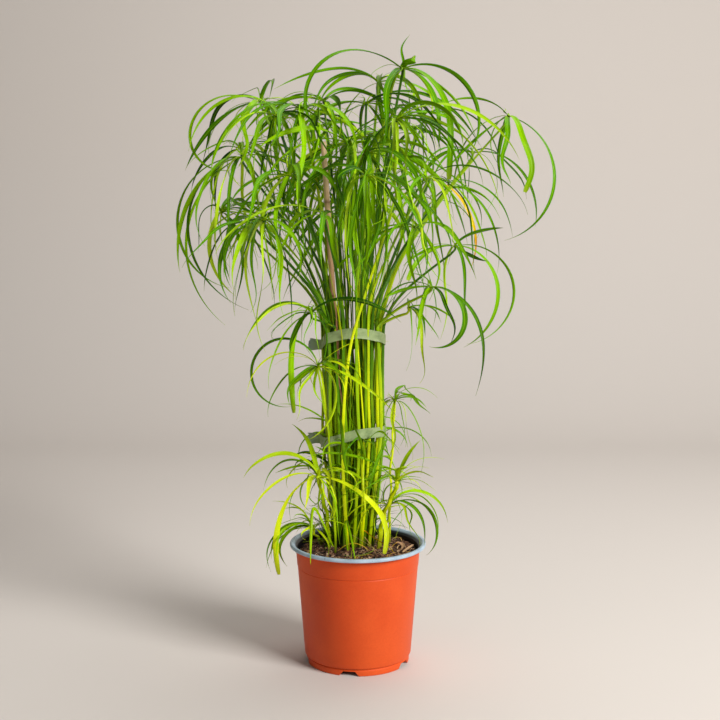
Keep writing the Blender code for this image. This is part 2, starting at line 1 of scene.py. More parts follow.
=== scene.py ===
# %% [markdown]
# # A potted umbrella sedge
# An umbrella sedge is a water plant that is sold in a plastic pot: many thin, stiff stems, each with a
# wheel of long, arching, grass-like bracts at its top. Here two tapes and a bamboo cane hold the stems.
# The frame's solids give every stem, hub and main bract its place. This lesson replaces each solid with a
# finer form, and adds what is too small for a solid: thin bracts, young stalks, peat chips and straws.

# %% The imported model
import math

import bpy
import numpy as np
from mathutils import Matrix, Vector, noise


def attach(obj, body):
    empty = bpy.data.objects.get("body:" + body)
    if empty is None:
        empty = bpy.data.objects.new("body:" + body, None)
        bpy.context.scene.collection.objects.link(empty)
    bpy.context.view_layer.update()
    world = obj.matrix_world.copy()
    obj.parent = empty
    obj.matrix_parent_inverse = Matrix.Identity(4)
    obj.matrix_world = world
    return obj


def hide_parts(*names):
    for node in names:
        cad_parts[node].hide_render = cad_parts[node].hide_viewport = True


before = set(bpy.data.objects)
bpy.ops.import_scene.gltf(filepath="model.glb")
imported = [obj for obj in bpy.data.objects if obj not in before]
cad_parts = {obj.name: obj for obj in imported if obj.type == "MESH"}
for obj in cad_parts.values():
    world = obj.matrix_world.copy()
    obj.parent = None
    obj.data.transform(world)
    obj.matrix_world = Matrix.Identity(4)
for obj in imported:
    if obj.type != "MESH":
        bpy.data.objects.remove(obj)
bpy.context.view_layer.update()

print("nodes in the frame:", len(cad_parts))

# %% [markdown]
# ## Camera
# The pot's rim, foot and height fix the camera: it stands 1.5 m away, a little above the tapes, and looks
# down by about seven degrees. A long lens keeps the stems nearly parallel, as in a product photograph.

# %% A camera at the photograph's viewing angle
CAMERA_PLACE = (0.0027, -1.5, 0.5586)
CAMERA_TILT = 6.80
CAMERA_LENS, SENSOR_WIDTH = 61.4, 36.0

camera = bpy.data.objects.new("camera", bpy.data.cameras.new("camera"))
bpy.context.scene.collection.objects.link(camera)
camera.location = CAMERA_PLACE
camera.rotation_euler = (math.radians(90 - CAMERA_TILT), 0, 0)
camera.data.lens, camera.data.sensor_width = CAMERA_LENS, SENSOR_WIDTH
bpy.context.scene.camera = camera
bpy.context.scene.view_settings.view_transform = "Standard"
print("the camera stands", -CAMERA_PLACE[1], "m from the pot")

# %% [markdown]
# ## Helpers for materials
# A material here is a small tree of nodes. One helper adds a node and fills its sockets in one line, so
# that a finish reads from its first node to its shader. Colours are written as they look on a screen,
# and another helper turns them into the linear values that shaders use.

# %% Adding nodes and writing colours
def put(tree, kind, inputs=(), **settings):
    """Adds a shader node. A socket given as an input is linked, and a value is typed in."""
    node = tree.nodes.new("ShaderNode" + kind)
    for name, value in settings.items():
        setattr(node, name, value)
    for key, value in dict(inputs).items():
        if isinstance(value, bpy.types.NodeSocket):
            tree.links.new(value, node.inputs[key])
        else:
            node.inputs[key].default_value = value
    return node


def tone(red, green, blue):
    """A colour as it looks on a screen, from 0 to 255, made linear."""
    return tuple((share / 255) ** 2.2 for share in (red, green, blue)) + (1.0,)


def ramp(tree, value, *stops):
    """A colour that changes with a value, from stops of (value, red, green, blue)."""
    node = put(tree, "ValToRGB", {"Fac": value})
    elements = node.color_ramp.elements
    while len(elements) < len(stops):
        elements.new(0.5)
    for element, (place, *colour) in zip(elements, stops):
        element.position, element.color = place, tone(*colour)
    return node.outputs["Color"]


def mix(tree, share, first, second):
    """Two colours mixed by a share."""
    return put(tree, "Mix", {"Factor": share, 6: first, 7: second}, data_type="RGBA").outputs[2]


def reckon(tree, operation, *values):
    """One step of arithmetic on values or sockets."""
    return put(tree, "Math", dict(enumerate(values)), operation=operation).outputs[0]


def tinge(tree, colour, share, strength, tint):
    """A colour that turns towards a tint where a share of the surface says so, up to a strength."""
    return mix(tree, reckon(tree, "MULTIPLY", share, strength), colour, tone(*tint))


def spread_over(tree, value, low, high, to_low=0.0, to_high=1.0):
    """A value's range from low to high, stretched to a new range and clamped."""
    return put(tree, "MapRange", {"Value": value, "From Min": low, "From Max": high,
                                  "To Min": to_low, "To Max": to_high}).outputs[0]


def new_finish(name, roughness, specular=0.5):
    """A material, the tree to build the rest in, and its Principled shader."""
    finish = bpy.data.materials.new(name)
    finish.use_nodes = True
    shader = finish.node_tree.nodes["Principled BSDF"]
    shader.inputs["Roughness"].default_value = roughness
    shader.inputs["Specular IOR Level"].default_value = specular
    return finish, finish.node_tree, shader


def dress(tree, shader, colour, height, distance, strength):
    """Gives a shader its colour, and fine relief from a height that changes over the surface."""
    tree.links.new(colour, shader.inputs["Base Color"])
    relief = put(tree, "Bump", {"Height": height, "Distance": distance, "Strength": strength})
    tree.links.new(relief.outputs[0], shader.inputs["Normal"])


def on_object(tree):
    """Where a point of the surface is on its object."""
    return put(tree, "TexCoord").outputs["Object"]


def height_of(tree):
    """How high a place is on the object, in metres."""
    return put(tree, "SeparateXYZ", {0: on_object(tree)}).outputs[2]


def written(tree, name):
    """A value that the mesh carries at each point."""
    return put(tree, "Attribute", attribute_name=name).outputs["Fac"]


# %% [markdown]
# ## Effects that several finishes share
# Moulded plastic, peat and old bamboo all look a little cloudy, and stems, blades, straws and tape all have
# fine lines along their length. Each effect is built once as a node group and placed with its own values.

# %% A group for cloudy colour and a group for lines along a strand
def new_group(name, *inputs):
    """A node group that gives a share. Its inputs are floats, and a vector where a name ends in a star."""
    group = bpy.data.node_groups.new(name, "ShaderNodeTree")
    for socket in inputs:
        kind = "NodeSocketVector" if socket.endswith("*") else "NodeSocketFloat"
        group.interface.new_socket(socket.rstrip("*"), in_out="INPUT", socket_type=kind)
    group.interface.new_socket("Share", in_out="OUTPUT", socket_type="NodeSocketFloat")
    return group, group.nodes.new("NodeGroupInput").outputs, group.nodes.new("NodeGroupOutput").inputs


soft_mottle, given, result = new_group("soft_mottle", "Place*", "Scale", "Contrast")
clouds = put(soft_mottle, "TexNoise", {"Vector": given["Place"], "Scale": given["Scale"], "Detail": 4.0,
                                       "Roughness": 0.55}).outputs[0]
low = reckon(soft_mottle, "SUBTRACT", 0.5, given["Contrast"])
high = reckon(soft_mottle, "ADD", 0.5, given["Contrast"])
soft_mottle.links.new(spread_over(soft_mottle, clouds, low, high), result["Share"])

long_lines, given, result = new_group("long_lines", "Across", "Along", "Count", "Length")
across = reckon(long_lines, "MULTIPLY", given["Across"], given["Count"])
along = reckon(long_lines, "MULTIPLY", given["Along"], given["Length"])
place = put(long_lines, "CombineXYZ", {0: across, 1: along}).outputs[0]
lines = put(long_lines, "TexNoise", {"Vector": place, "Scale": 1.0, "Detail": 2.0}).outputs[0]
long_lines.links.new(spread_over(long_lines, lines, 0.35, 0.65), result["Share"])


def mottled(tree, scale, contrast, place=None):
    """Cloudy shares of a surface, by its place on the object."""
    return put(tree, "Group", {"Place": place or on_object(tree), "Scale": scale, "Contrast": contrast},
               node_tree=soft_mottle).outputs[0]


def lined(tree, count, length):
    """Lines along a strand, and where a point is across and along it, from the strand's own UV map."""
    strand = put(tree, "SeparateXYZ", {0: put(tree, "UVMap", uv_map="strand").outputs[0]}).outputs
    lines = put(tree, "Group", {"Across": strand[0], "Along": strand[1], "Count": count, "Length": length},
                node_tree=long_lines)
    return lines.outputs[0], strand


print("shared effects:", [group.name for group in (soft_mottle, long_lines)])

# %% [markdown]
# ## The pot's finish
# The pot is moulded from two layers of soft plastic: terracotta outside, blue-grey inside. The inner layer
# rolls over the rim, where handling leaves small dark scuffs. On the rim it is painted a pale blue-grey, as
# the lit plastic looks with its sheen, and down inside it is painted nearly black as shade.
# Cloudy colour with a fine grain keeps the large plain wall from looking like paint.

# %% Terracotta and blue-grey plastic
terracotta, tree, shader = new_finish("terracotta_plastic", 0.42, 0.22)
cloud, grain = mottled(tree, 11.0, 0.2), mottled(tree, 420.0, 0.25)
colour = mix(tree, cloud, tone(198, 70, 28), tone(220, 90, 40))
colour = tinge(tree, colour, grain, 0.2, (168, 48, 18))
tree.links.new(spread_over(tree, cloud, 0.0, 1.0, 0.40, 0.54), shader.inputs["Roughness"])
dress(tree, shader, colour, grain, 0.00006, 0.35)

LINER_SHADE_RADII = (0.0775, 0.0795)
blue_grey, tree, shader = new_finish("blue_grey_plastic", 0.38)
flat = put(tree, "VectorMath", {0: on_object(tree), 1: (1.0, 1.0, 0.0)}, operation="MULTIPLY").outputs[0]
out = put(tree, "VectorMath", {0: flat}, operation="LENGTH").outputs["Value"]
colour = mix(tree, mottled(tree, 60.0, 0.2), tone(142, 162, 178), tone(172, 190, 204))
scuffs = spread_over(tree, mottled(tree, 230.0, 0.5), 0.66, 0.70)
colour = tinge(tree, colour, scuffs, 0.6, (70, 78, 84))
# Painted shade: nearly black inside the rim's radius. The pale blue-grey beyond it is painted as lit plastic.
colour = mix(tree, spread_over(tree, out, *LINER_SHADE_RADII), tone(26, 27, 31), colour)
dress(tree, shader, colour, mottled(tree, 150.0, 0.4), 0.0002, 0.4)

# %% [markdown]
# ## The pot
# A pot is a turned form. It could be spun from an outline in one step, but drawing one ring out of the
# last, as a potter raises a wall, keeps each part of the outline in its own short list: the foot with its
# groove, the wall with its step, the rolled lip and the inside. The drain notches are then cut by Boolean.

# %% The outline of the pot, from the middle of its underside to its floor
POT_HEIGHT, RIM_RADIUS, PAD_RADIUS = 0.1515, 0.085, 0.018
WALL, GAP = 0.0016, 0.0003
FOOT_HEIGHT, WALL_FOOT = 0.0075, 0.0095
WALL_RADII = (0.0665, 0.0775)
BAND, LIP = POT_HEIGHT - 0.0285, POT_HEIGHT - 0.0046
FLOOR_RADIUS, FLOOR_TOP = 0.060, 0.0055


def pot_radius(height):
    """The wall's outer radius, from the top of the foot up to the lip."""
    return float(np.interp(height, (FOOT_HEIGHT, POT_HEIGHT), WALL_RADII))


def rings_by(radius, height, *steps):
    """Rings round a place of the outline, from steps in millimetres outwards and upwards."""
    return [(radius + out / 1000, height + up / 1000) for out, up in steps]


FOOT = rings_by(0, 0, (21.5, 3.5), (56.8, 3.5), (58.3, 0.6), (59.2, 0), (63.7, 0), (64.3, 0.3), (64.5, 1),
                (64.5, 6.8), (64.1, 7.4), (63.5, 7.8), (63.7, 8.5), (65, 9), (66, 9.7), (66.8, 11.2))
STEP = rings_by(pot_radius(BAND), BAND, (0, -1.4), (-0.3, -0.8), (-0.2, -0.2), (0.5, 0.3), (0.6, 1.2))
ROLL = rings_by(RIM_RADIUS, LIP, (-1.2, 0.1), (-0.3, 0.7), (0, 1.7), (0, 2.7), (-0.4, 3.8), (-1.3, 4.5),
                (-2.4, 4.6), (-4, 4.4), (-5, 3.6))
LIP_FOOT, LIP_INSIDE = rings_by(pot_radius(LIP), LIP, (0.6, 0), (-1.6, -1))
INSIDE = [(pot_radius(WALL_FOOT) - WALL, WALL_FOOT), (FLOOR_RADIUS, FLOOR_TOP)]


# %% Raising rings out of one another
def mode(name):
    """Goes to object mode or to edit mode."""
    bpy.ops.object.mode_set(mode=name)


def only(piece):
    """Selects one piece alone."""
    bpy.ops.object.select_all(action="DESELECT")
    piece.select_set(True)
    bpy.context.view_layer.objects.active = piece


def begin(name, radius, height, sides):
    """Starts a turned form as a filled circle, with its border selected in edit mode."""
    bpy.ops.object.select_all(action="DESELECT")
    bpy.ops.mesh.primitive_circle_add(vertices=sides, radius=radius, fill_type="NGON", location=(0, 0, 0))
    piece = bpy.context.object
    piece.name = piece.data.name = name
    mode("EDIT")
    bpy.ops.mesh.select_all(action="SELECT")
    bpy.ops.transform.translate(value=(0, 0, height))
    bpy.ops.mesh.region_to_loop()
    return piece


def draw_up(value):
    """Extrudes what is selected, straight up."""
    bpy.ops.mesh.extrude_region_move(TRANSFORM_OT_translate={"value": (0, 0, value)})


def raise_rings(rings, radius, height):
    """Draws the selected ring out through a list of (radius, height), then closes the form."""
    for next_radius, next_height in rings:
        draw_up(next_height - height)
        share = next_radius / radius
        bpy.ops.transform.resize(value=(share, share, 1), center_override=(0, 0, 0))
        radius, height = next_radius, next_height
    bpy.ops.mesh.edge_face_add()
    turn_faces_out()


def turn_faces_out():
    """In edit mode, makes every face point out, and leaves edit mode."""
    bpy.ops.mesh.select_all(action="SELECT")
    bpy.ops.mesh.normals_make_consistent(inside=False)
    mode("OBJECT")


def pick(piece, parts, wanted):
    """In edit mode, selects only the faces or edges that a test wants."""
    mode("EDIT")
    bpy.ops.mesh.select_mode(type=parts)
    bpy.ops.mesh.select_all(action="DESELECT")
    mode("OBJECT")
    for part in piece.data.polygons if parts == "FACE" else piece.data.edges:
        part.select = wanted(part)
    mode("EDIT")


def faces_up(face):
    """Whether a face looks upwards."""
    return face.normal.z > 0.5


def write_values(mesh, name, values):
    """Writes a value at each point of a mesh."""
    mesh.attributes.new(name, "FLOAT", "POINT").data.foreach_set("value", values)


def soften(piece, degrees, *finishes):
    """Gives a selected piece its finishes, and smooth shading up to an angle between faces."""
    for finish in finishes:
        piece.data.materials.append(finish)
    bpy.ops.object.shade_smooth_by_angle(angle=math.radians(degrees))


def keep(piece, slot, *nodes):
    """Lets a finished piece ride on the body and stand for its nodes. The slot is not used."""
    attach(piece, "root")
    if nodes:
        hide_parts(*nodes)
    piece.data.calc_loop_triangles()
    print(piece.name, len(piece.data.loop_triangles), "triangles")


POT_SIDES = 144
pot = begin("pot_two_layer", PAD_RADIUS, 0.0, POT_SIDES)
raise_rings(FOOT + STEP + [LIP_FOOT] + ROLL + [LIP_INSIDE] + INSIDE, PAD_RADIUS, 0.0)

# %% [markdown]
# ### The drain notches
# The foot has a drain notch in the middle of each fifth of its ring, wide at the table and narrow above.
# A wedge for each is shaped from a cube and turned to its place, and all are cut out together.

# %% Cutting the drain notches
NOTCHES, NOTCH_BEARING = 5, -99.5
NOTCH_WIDTHS, NOTCH_HEIGHT = (0.0353, 0.0145), 0.006
NOTCH_REACH, NOTCH_SPAN = 0.0615, 0.018

wedges = []
for number in range(NOTCHES):
    bpy.ops.mesh.primitive_cube_add(size=1, location=(NOTCH_REACH, 0, 0))
    wedge = bpy.context.object
    wedge.scale = (NOTCH_SPAN, NOTCH_WIDTHS[0], 2 * NOTCH_HEIGHT)
    bpy.ops.object.transform_apply(location=True, scale=True)
    pick(wedge, "FACE", faces_up)
    share = NOTCH_WIDTHS[1] / NOTCH_WIDTHS[0]
    bpy.ops.transform.resize(value=(1, share, 1), center_override=(NOTCH_REACH, 0, 0))
    mode("OBJECT")
    wedge.rotation_euler.z = math.radians(NOTCH_BEARING + 360 / NOTCHES * number)
    bpy.ops.object.transform_apply(rotation=True)
    wedges.append(wedge)
for wedge in wedges:
    wedge.select_set(True)
bpy.context.view_layer.objects.active = wedges[0]
bpy.ops.object.join()
only(pot)
cut = pot.modifiers.new("drain_notches", "BOOLEAN")
cut.operation, cut.solver, cut.object = "DIFFERENCE", "EXACT", wedges[0]
bpy.ops.object.modifier_apply(modifier=cut.name)
bpy.data.objects.remove(wedges[0])

# %% Two layers of plastic on one wall
LINER_SHARE = 0.6

soften(pot, 30, terracotta, blue_grey)
for face in pot.data.polygons:
    x, y, z = face.center
    out = math.hypot(x, y)
    inner = z > FLOOR_TOP - GAP and out < pot_radius(z) - WALL * LINER_SHARE
    looks_in = out < RIM_RADIUS - WALL and face.normal.x * x + face.normal.y * y < GAP
    face.material_index = int(z > LIP + GAP or (inner and looks_in))
keep(pot, "pot_plastic", "pot")

# %% [markdown]
# ## The peat
# The pot is filled to about a centimetre under the rim with dark peat: a lumpy bed of crumbs, chips and
# fibres. The bed is a plug that follows the wall down to the floor. Its top is inset ring by ring, then
# raised and sunk by noise. Thousands of crumbs and fibres are too small for solids and lie on it.

# %% The finish of peat, chips and fibres
peat, tree, shader = new_finish("moist_peat", 0.92)
colour = ramp(tree, written(tree, "tint"), (0.0, 38, 25, 17), (0.45, 92, 60, 42), (0.8, 156, 108, 78),
              (1.0, 220, 184, 144))
crumbs = mottled(tree, 600.0, 0.2)
dress(tree, shader, tinge(tree, colour, crumbs, 0.55, (20, 12, 8)), crumbs, 0.0006, 0.8)

# %% The bed of peat
SOIL_TOP, SOIL_RINGS, SOIL_SIDES = 0.141, 15, 96
EDGE_DROP, EDGE_BAND = 0.0025, 0.010
# How fine the noise is, then how high it lifts the peat or how much it lightens it.
LUMPS, CRUMBS, BED_TINTS, DARKEST = (55, 0.0022), (190, 0.0013), (160, 0.3), 0.12
SOIL_RADIUS = pot_radius(SOIL_TOP) - WALL - 2 * GAP


def peat_height(x, y):
    """The height of the peat at a place: broad lumps, small crumbs and a dip along the wall."""
    broad = noise.noise(Vector((x, y, 0)) * LUMPS[0]) * LUMPS[1]
    small = noise.noise(Vector((x, y, 1)) * CRUMBS[0]) * CRUMBS[1]
    edge = max(0.0, 1 - (SOIL_RADIUS - math.hypot(x, y)) / EDGE_BAND)
    return SOIL_TOP + broad + small - EDGE_DROP * edge


bed = begin("peat_bed", SOIL_RADIUS, SOIL_TOP, SOIL_SIDES)
raise_rings([(pot_radius(WALL_FOOT) - WALL - GAP, WALL_FOOT + GAP),
             (FLOOR_RADIUS - 2 * GAP, FLOOR_TOP + GAP)], SOIL_RADIUS, SOIL_TOP)
pick(bed, "FACE", faces_up)
for ring in range(SOIL_RINGS):
    bpy.ops.mesh.inset(thickness=SOIL_RADIUS / (SOIL_RINGS + 1))
bpy.ops.mesh.poke()
mode("OBJECT")
pick(bed, "FACE", faces_up)
bpy.ops.mesh.subdivide(number_cuts=1)
mode("OBJECT")
for point in bed.data.vertices:
    if point.co.z > SOIL_TOP - GAP:
        point.co.z = peat_height(point.co.x, point.co.y)
tints = [DARKEST + BED_TINTS[1] * max(0.0, noise.noise(point.co * BED_TINTS[0]))
         for point in bed.data.vertices]
write_values(bed.data, "tint", tints)
soften(bed, 60, peat)
keep(bed, "peat", "soil")

# %% [markdown]
# ## Thin things
# Stems, bracts, fibres and straws are all strands: a row of rings along a line, closed at both ends.
# Thousands of them would be slow as objects, so they are worked out as arrays and gathered, and each
# gathering becomes one mesh. Every point carries where it is on its strand, its tint and its age. On a tape
# the tint holds painted sheen and the age holds painted shade.

# %% Lines, rings and their gathering into one mesh
BLADE_ACROSS = np.array([-1.0, -0.5, 0.0, 0.5, 1.0, 0.5, 0.0, -0.5])
BLADE_UNDER = np.array([0, 0, 0, 0, 0, 1, 1, 1])
BLADE_THICKNESS = 0.00028


def unit(vectors):
    """Vectors made one long."""
    return vectors / np.linalg.norm(vectors, axis=-1, keepdims=True)


def axes(path, side):
    """The sideways and upward directions along a path."""
    forward = unit(np.gradient(path, axis=0))
    side = unit(side - forward * (side * forward).sum(axis=1, keepdims=True))
    return side, np.cross(forward, side)


def compass(angle):
    """The way that an angle points, seen from above."""
    return np.array([math.cos(angle), math.sin(angle)])


def on_disc(draw, radius):
    """A random place on a disc."""
    bearing, out = draw.uniform(0, math.tau), radius * math.sqrt(draw.uniform(0, 1))
    return out * compass(bearing)


def read_off(path, at, wanted):
    """The places on a path at the wanted values, where each of its points has its own value."""
    return np.stack([np.interp(wanted, at, column) for column in path.T], axis=1)


def smoothed(points, rounds=4):
    """A path with its corners cut off again and again, which keeps its two ends."""
    path = np.array(points, dtype=float)
    for _ in range(rounds):
        quarter, most = 0.75 * path[:-1] + 0.25 * path[1:], 0.25 * path[:-1] + 0.75 * path[1:]
        path = np.vstack([path[:1], np.stack([quarter, most], axis=1).reshape(-1, 3), path[-1:]])
    return path


def place_in_scene(name, mesh):
    """An object with its mesh, in the scene."""
    piece = bpy.data.objects.new(name, mesh)
    bpy.context.scene.collection.objects.link(piece)
    return piece


class Strands:
    """Thin closed forms that become one mesh."""

    def __init__(self):
        self.points, self.faces, self.places, self.tints, self.ages, self.skins = [], [], [], [], [], []
        self.count = 0

    def add(self, rings, across, tint, age=0.0, skin=0):
        """Adds a strand from its rings of points, each ring in the same order."""
        steps, sides = rings.shape[:2]
        index = self.count + np.arange(steps * sides).reshape(steps, sides)
        after = np.roll(index, -1, axis=1)
        walls = np.stack([index[:-1], index[1:], after[1:], after[:-1]], axis=-1).reshape(-1, 4)
        self.faces += walls.tolist() + [index[0].tolist(), index[-1][::-1].tolist()]
        self.skins += [skin] * (len(walls) + 2)
        along = np.repeat(np.linspace(0.0, 1.0, steps), sides)
        self.places.append(np.stack([np.tile(across, steps), along], axis=1))
        self.points.append(rings.reshape(-1, 3))
        self.tints.append(np.full(steps * sides, tint))
        self.ages.append(np.full(steps * sides, age))
        self.count += steps * sides

    def add_rod(self, path, radii, tint, sides=9, corner=0.0):
        """Adds a rod, with three rounded corners where the corner's share isn't zero."""
        side, up = axes(path, np.tile([1.0, 0.0, 0.0], (len(path), 1)))
        angles = math.tau * np.arange(sides) / sides
        out = np.broadcast_to(radii, len(path))[:, None] * (1 + corner * np.cos(3 * angles))
        rings = (path[:, None] + side[:, None] * (out * np.cos(angles))[..., None]
                 - up[:, None] * (out * np.sin(angles))[..., None])
        self.add(rings, np.abs(2 * np.arange(sides) / sides - 1), tint)

    def add_blade(self, path, side, half, fold, twist, tint, age=0.0, skin=0):
        """Adds a thin folded blade: its two halves rise from a keel by the fold and turn by the twist."""
        side, up = axes(path, side)
        c, s = np.cos(twist)[:, None], np.sin(twist)[:, None]
        side, up = side * c + up * s, up * c - side * s
        wide = BLADE_ACROSS * (half * np.cos(fold))[:, None]
        high = np.abs(BLADE_ACROSS) * (half * np.sin(fold))[:, None] - BLADE_UNDER * BLADE_THICKNESS
        rings = path[:, None] + side[:, None] * wide[..., None] + up[:, None] * high[..., None]
        self.add(rings, BLADE_ACROSS, tint, age, skin)

    def finish(self, name, *finishes, sharp=50):
        """Makes one object of all the strands."""
        mesh = bpy.data.meshes.new(name)
        mesh.from_pydata(np.vstack(self.points).tolist(), [], self.faces)
        write_values(mesh, "tint", np.concatenate(self.tints))
        write_values(mesh, "age", np.concatenate(self.ages))
        corners = np.empty(len(mesh.loops), dtype=np.int32)
        mesh.loops.foreach_get("vertex_index", corners)
        mesh.uv_layers.new(name="strand").data.foreach_set("uv", np.vstack(self.places)[corners].ravel())
        for finish in finishes:
            mesh.materials.append(finish)
        mesh.polygons.foreach_set("material_index", self.skins)
        mesh.shade_smooth()
        mesh.set_sharp_from_angle(angle=math.radians(sharp))
        return place_in_scene(name, mesh)


# %% [markdown]
# ## Chips and fibres
# Each chip is a small box with its corners moved, turned at random and laid on the bed. A fibre is a thin
# bent rod. Both keep to the peat's height, so they lie on it, and the lightest chips are the rarest.

# %% Peat chips and fibres
CHIPS, CHIP_REACH, CHIP_TINT_POWER = 2600, 0.97, 1.15
CHIP_LENGTH, CHIP_WIDTH, CHIP_HEIGHT = (0.0007, 0.0028), (0.3, 0.7), (0.15, 0.4)
CHIP_ROUGH, CHIP_TILT, CHIP_LIFT = (-0.3, 0.3), (0.1, 0.6), 0.0012
FIBRES, FIBRE_REACH, FIBRE_LENGTH, FIBRE_BEND = 620, 0.95, (0.004, 0.016), 1.2
FIBRE_ARCH, FIBRE_LIFT, FIBRE_RADIUS = (0.0002, 0.0022), (-0.0002, 0.0006), (0.00012, 0.00032)
FIBRE_DARKEST = 0.25
BOX = np.array([(x, y, z) for x in (-1, 1) for y in (-1, 1) for z in (-1, 1)], dtype=float)
BOX_FACES = np.array([(0, 1, 3, 2), (4, 6, 7, 5), (0, 4, 5, 1), (2, 3, 7, 6), (0, 2, 6, 4), (1, 5, 7, 3)])

draw = np.random.default_rng(21)
chip_points, chip_tints = [], []
for _ in range(CHIPS):
    x, y = on_disc(draw, SOIL_RADIUS * CHIP_REACH)
    size = draw.uniform(*CHIP_LENGTH) * np.array([1.0, draw.uniform(*CHIP_WIDTH), draw.uniform(*CHIP_HEIGHT)])
    corners = (BOX * (1 + draw.uniform(*CHIP_ROUGH, BOX.shape))) * size
    turn, _ = np.linalg.qr(draw.normal(size=(3, 3)))
    tilt, _ = np.linalg.qr(np.eye(3) + turn * draw.uniform(*CHIP_TILT))
    c, s = compass(draw.uniform(0, math.tau))
    corners = corners @ tilt.T @ np.array([(c, s, 0), (-s, c, 0), (0, 0, 1)])
    chip_points.append(corners + (x, y, peat_height(x, y) + draw.uniform(0, CHIP_LIFT)))
    chip_tints.append(np.full(len(BOX), draw.uniform(0, 1) ** CHIP_TINT_POWER))
mesh = bpy.data.meshes.new("peat_chips")
faces = (BOX_FACES[None] + len(BOX) * np.arange(CHIPS)[:, None, None]).reshape(-1, 4)
mesh.from_pydata(np.vstack(chip_points).tolist(), [], faces.tolist())
write_values(mesh, "tint", np.concatenate(chip_tints))
mesh.materials.append(peat)
chips = place_in_scene("peat_chips", mesh)
only(chips)
mode("EDIT")
turn_faces_out()
keep(chips, "peat")


def lying(place, heading, length, bend, points):
    """A bent line on the bed, each point's share from its middle, and whether the line stays on the bed."""
    share = np.linspace(-0.5, 0.5, points)
    way = heading + bend * share
    path = np.stack([place[0] + length * share * np.cos(way), place[1] + length * share * np.sin(way),
                     np.zeros(points)], axis=1)
    path[:, 2] = [peat_height(x, y) for x, y in path[:, :2]]
    return path, share, np.hypot(path[:, 0], path[:, 1]).max() <= SOIL_RADIUS


fibres = Strands()
for _ in range(FIBRES):
    place = on_disc(draw, SOIL_RADIUS * FIBRE_REACH)
    length, heading = draw.uniform(*FIBRE_LENGTH), draw.uniform(0, math.tau)
    path, share, on_bed = lying(place, heading, length, draw.uniform(-FIBRE_BEND, FIBRE_BEND), 7)
    if on_bed:
        path[:, 2] += draw.uniform(*FIBRE_ARCH) * (1 - (2 * share) ** 2) + draw.uniform(*FIBRE_LIFT)
        radius, tint = draw.uniform(*FIBRE_RADIUS), draw.uniform(0, 1)
        fibres.add_rod(path, radius, FIBRE_DARKEST + (1 - FIBRE_DARKEST) * tint, sides=4)
keep(fibres.finish("peat_fibres", peat), "peat")

# %% [markdown]
# ## How the plant grows
# A seed for the random draws and a few rules give every stem its place. The stems stand on a narrow foot,
# lean forward to where the tapes hold them, and fan out above. A bract's slope falls along its length, so
# it rises from its hub and arches over. The numbers are the same as in the solids, so both grow alike.

# %% Numbers of the bundle, the cane and the bracts
# The bundle of culms leans forward from its narrow foot to where the two tapes hold it, and twists a
# little. A parting runs through it from front to back.
BUNDLE_X, FOOT_BACK, BUNDLE_RADIUS, FOOT_SPREAD = -0.006, 0.024, 0.040, 0.68
SEAT_SPACING, CANE_SPACING = 0.0088, 0.0074
LOWER_HOLD, UPPER_HOLD = 0.290, 0.420
PARTING_X, PARTING = -0.001, 0.007
TWIST_HEIGHTS, TWISTS = (SOIL_TOP, LOWER_HOLD, UPPER_HOLD), (-9, 3, -5)
FAN_KNEE, NECK, NECK_STEPS = 0.35, 0.006, 3
STRAIGHT_POINTS, FAN_POINTS, SHOOT_POINTS = (40, 35), 90, 60
SEAT_ROUNDS, CANE_CHECKS = 300, 7

CANE_FOOT = (-0.012, 0.018, SOIL_TOP + 3 * GAP)
CANE_TOP = (-0.0405, -0.030, 0.643)
CANE_RADIUS, CANE_POINTS = 0.0034, 90

# The bracts that grow by rule: the ranges they are drawn from, and how they lean out of the crown.
SEED = 7
BRACT_STEPS, BRACT_BEND, BRACTS_EACH, FILL_TRIES = 48, 0.75, 5, 60
FILL_RISE, FILL_TURN, FILL_SWAY = (15, 55), (85, 135), (-45, 45)
FILL_LENGTH, FILL_WIDTH = (0.110, 0.190), (0.0035, 0.0065)
LEAN_PER_METRE, INWARD_SHORTER = 80, 0.15
CROWN_RADIUS, CROWN_FOOT, CROWN_TOP = 0.235, 0.385, 0.742

# How a new bract keeps clear of other bearings on its hub and of what has grown.
BEARING_APART, NUDGES = 24, (0, 5, -5, 10, -10, 15, -15, 20, -20)
HUB_CLEAR, BRACT_CLEAR = 0.013, 0.009
WIDTH_SHARE, BRACT_MARGIN = 0.4, 0.0022
STEM_ROOM, HUB_ROOM = 0.006, 0.020

# %% Where the hubs are, and the bracts that are given one by one
# Every hub's place in millimetres: first those of the culms, then those of the low shoots.
CULMS = 36
HUBS = np.array([
    (53, -10, 729), (25, 40, 718), (-41, 20, 693), (-66, -22, 680), (-118, 20, 693), (-96, -30, 672),
    (10, 12, 690), (181, 0, 675), (-138, -20, 625), (-80, -60, 602), (-38, -88, 556), (9, -40, 628),
    (65, -70, 542), (117, -20, 520), (86, -58, 473), (141, 30, 632), (88, 50, 600), (-10, -6, 640),
    (-150, 90, 640), (-60, 120, 680), (30, 140, 660), (85, 100, 684), (118, 118, 600), (-170, 40, 560),
    (-100, 140, 580), (0, 165, 570), (100, 150, 575), (78, -98, 598), (10, -125, 600), (-105, -110, 550),
    (-20, 80, 610), (70, 40, 655), (-118, -70, 545), (45, -60, 665), (-54, -60, 442), (61, -30, 446),
    (-48.5, -30, 239.5), (47.5, -30, 232.5), (-55, -8, 168), (40, -6, 199), (-47, -55, 378), (46, 16, 326),
]) / 1000
SHOOT_FEET = np.array([(-36.5, 4), (27, 6), (-46, 16), (34, 18), (-28, -19), (40, 30)]) / 1000

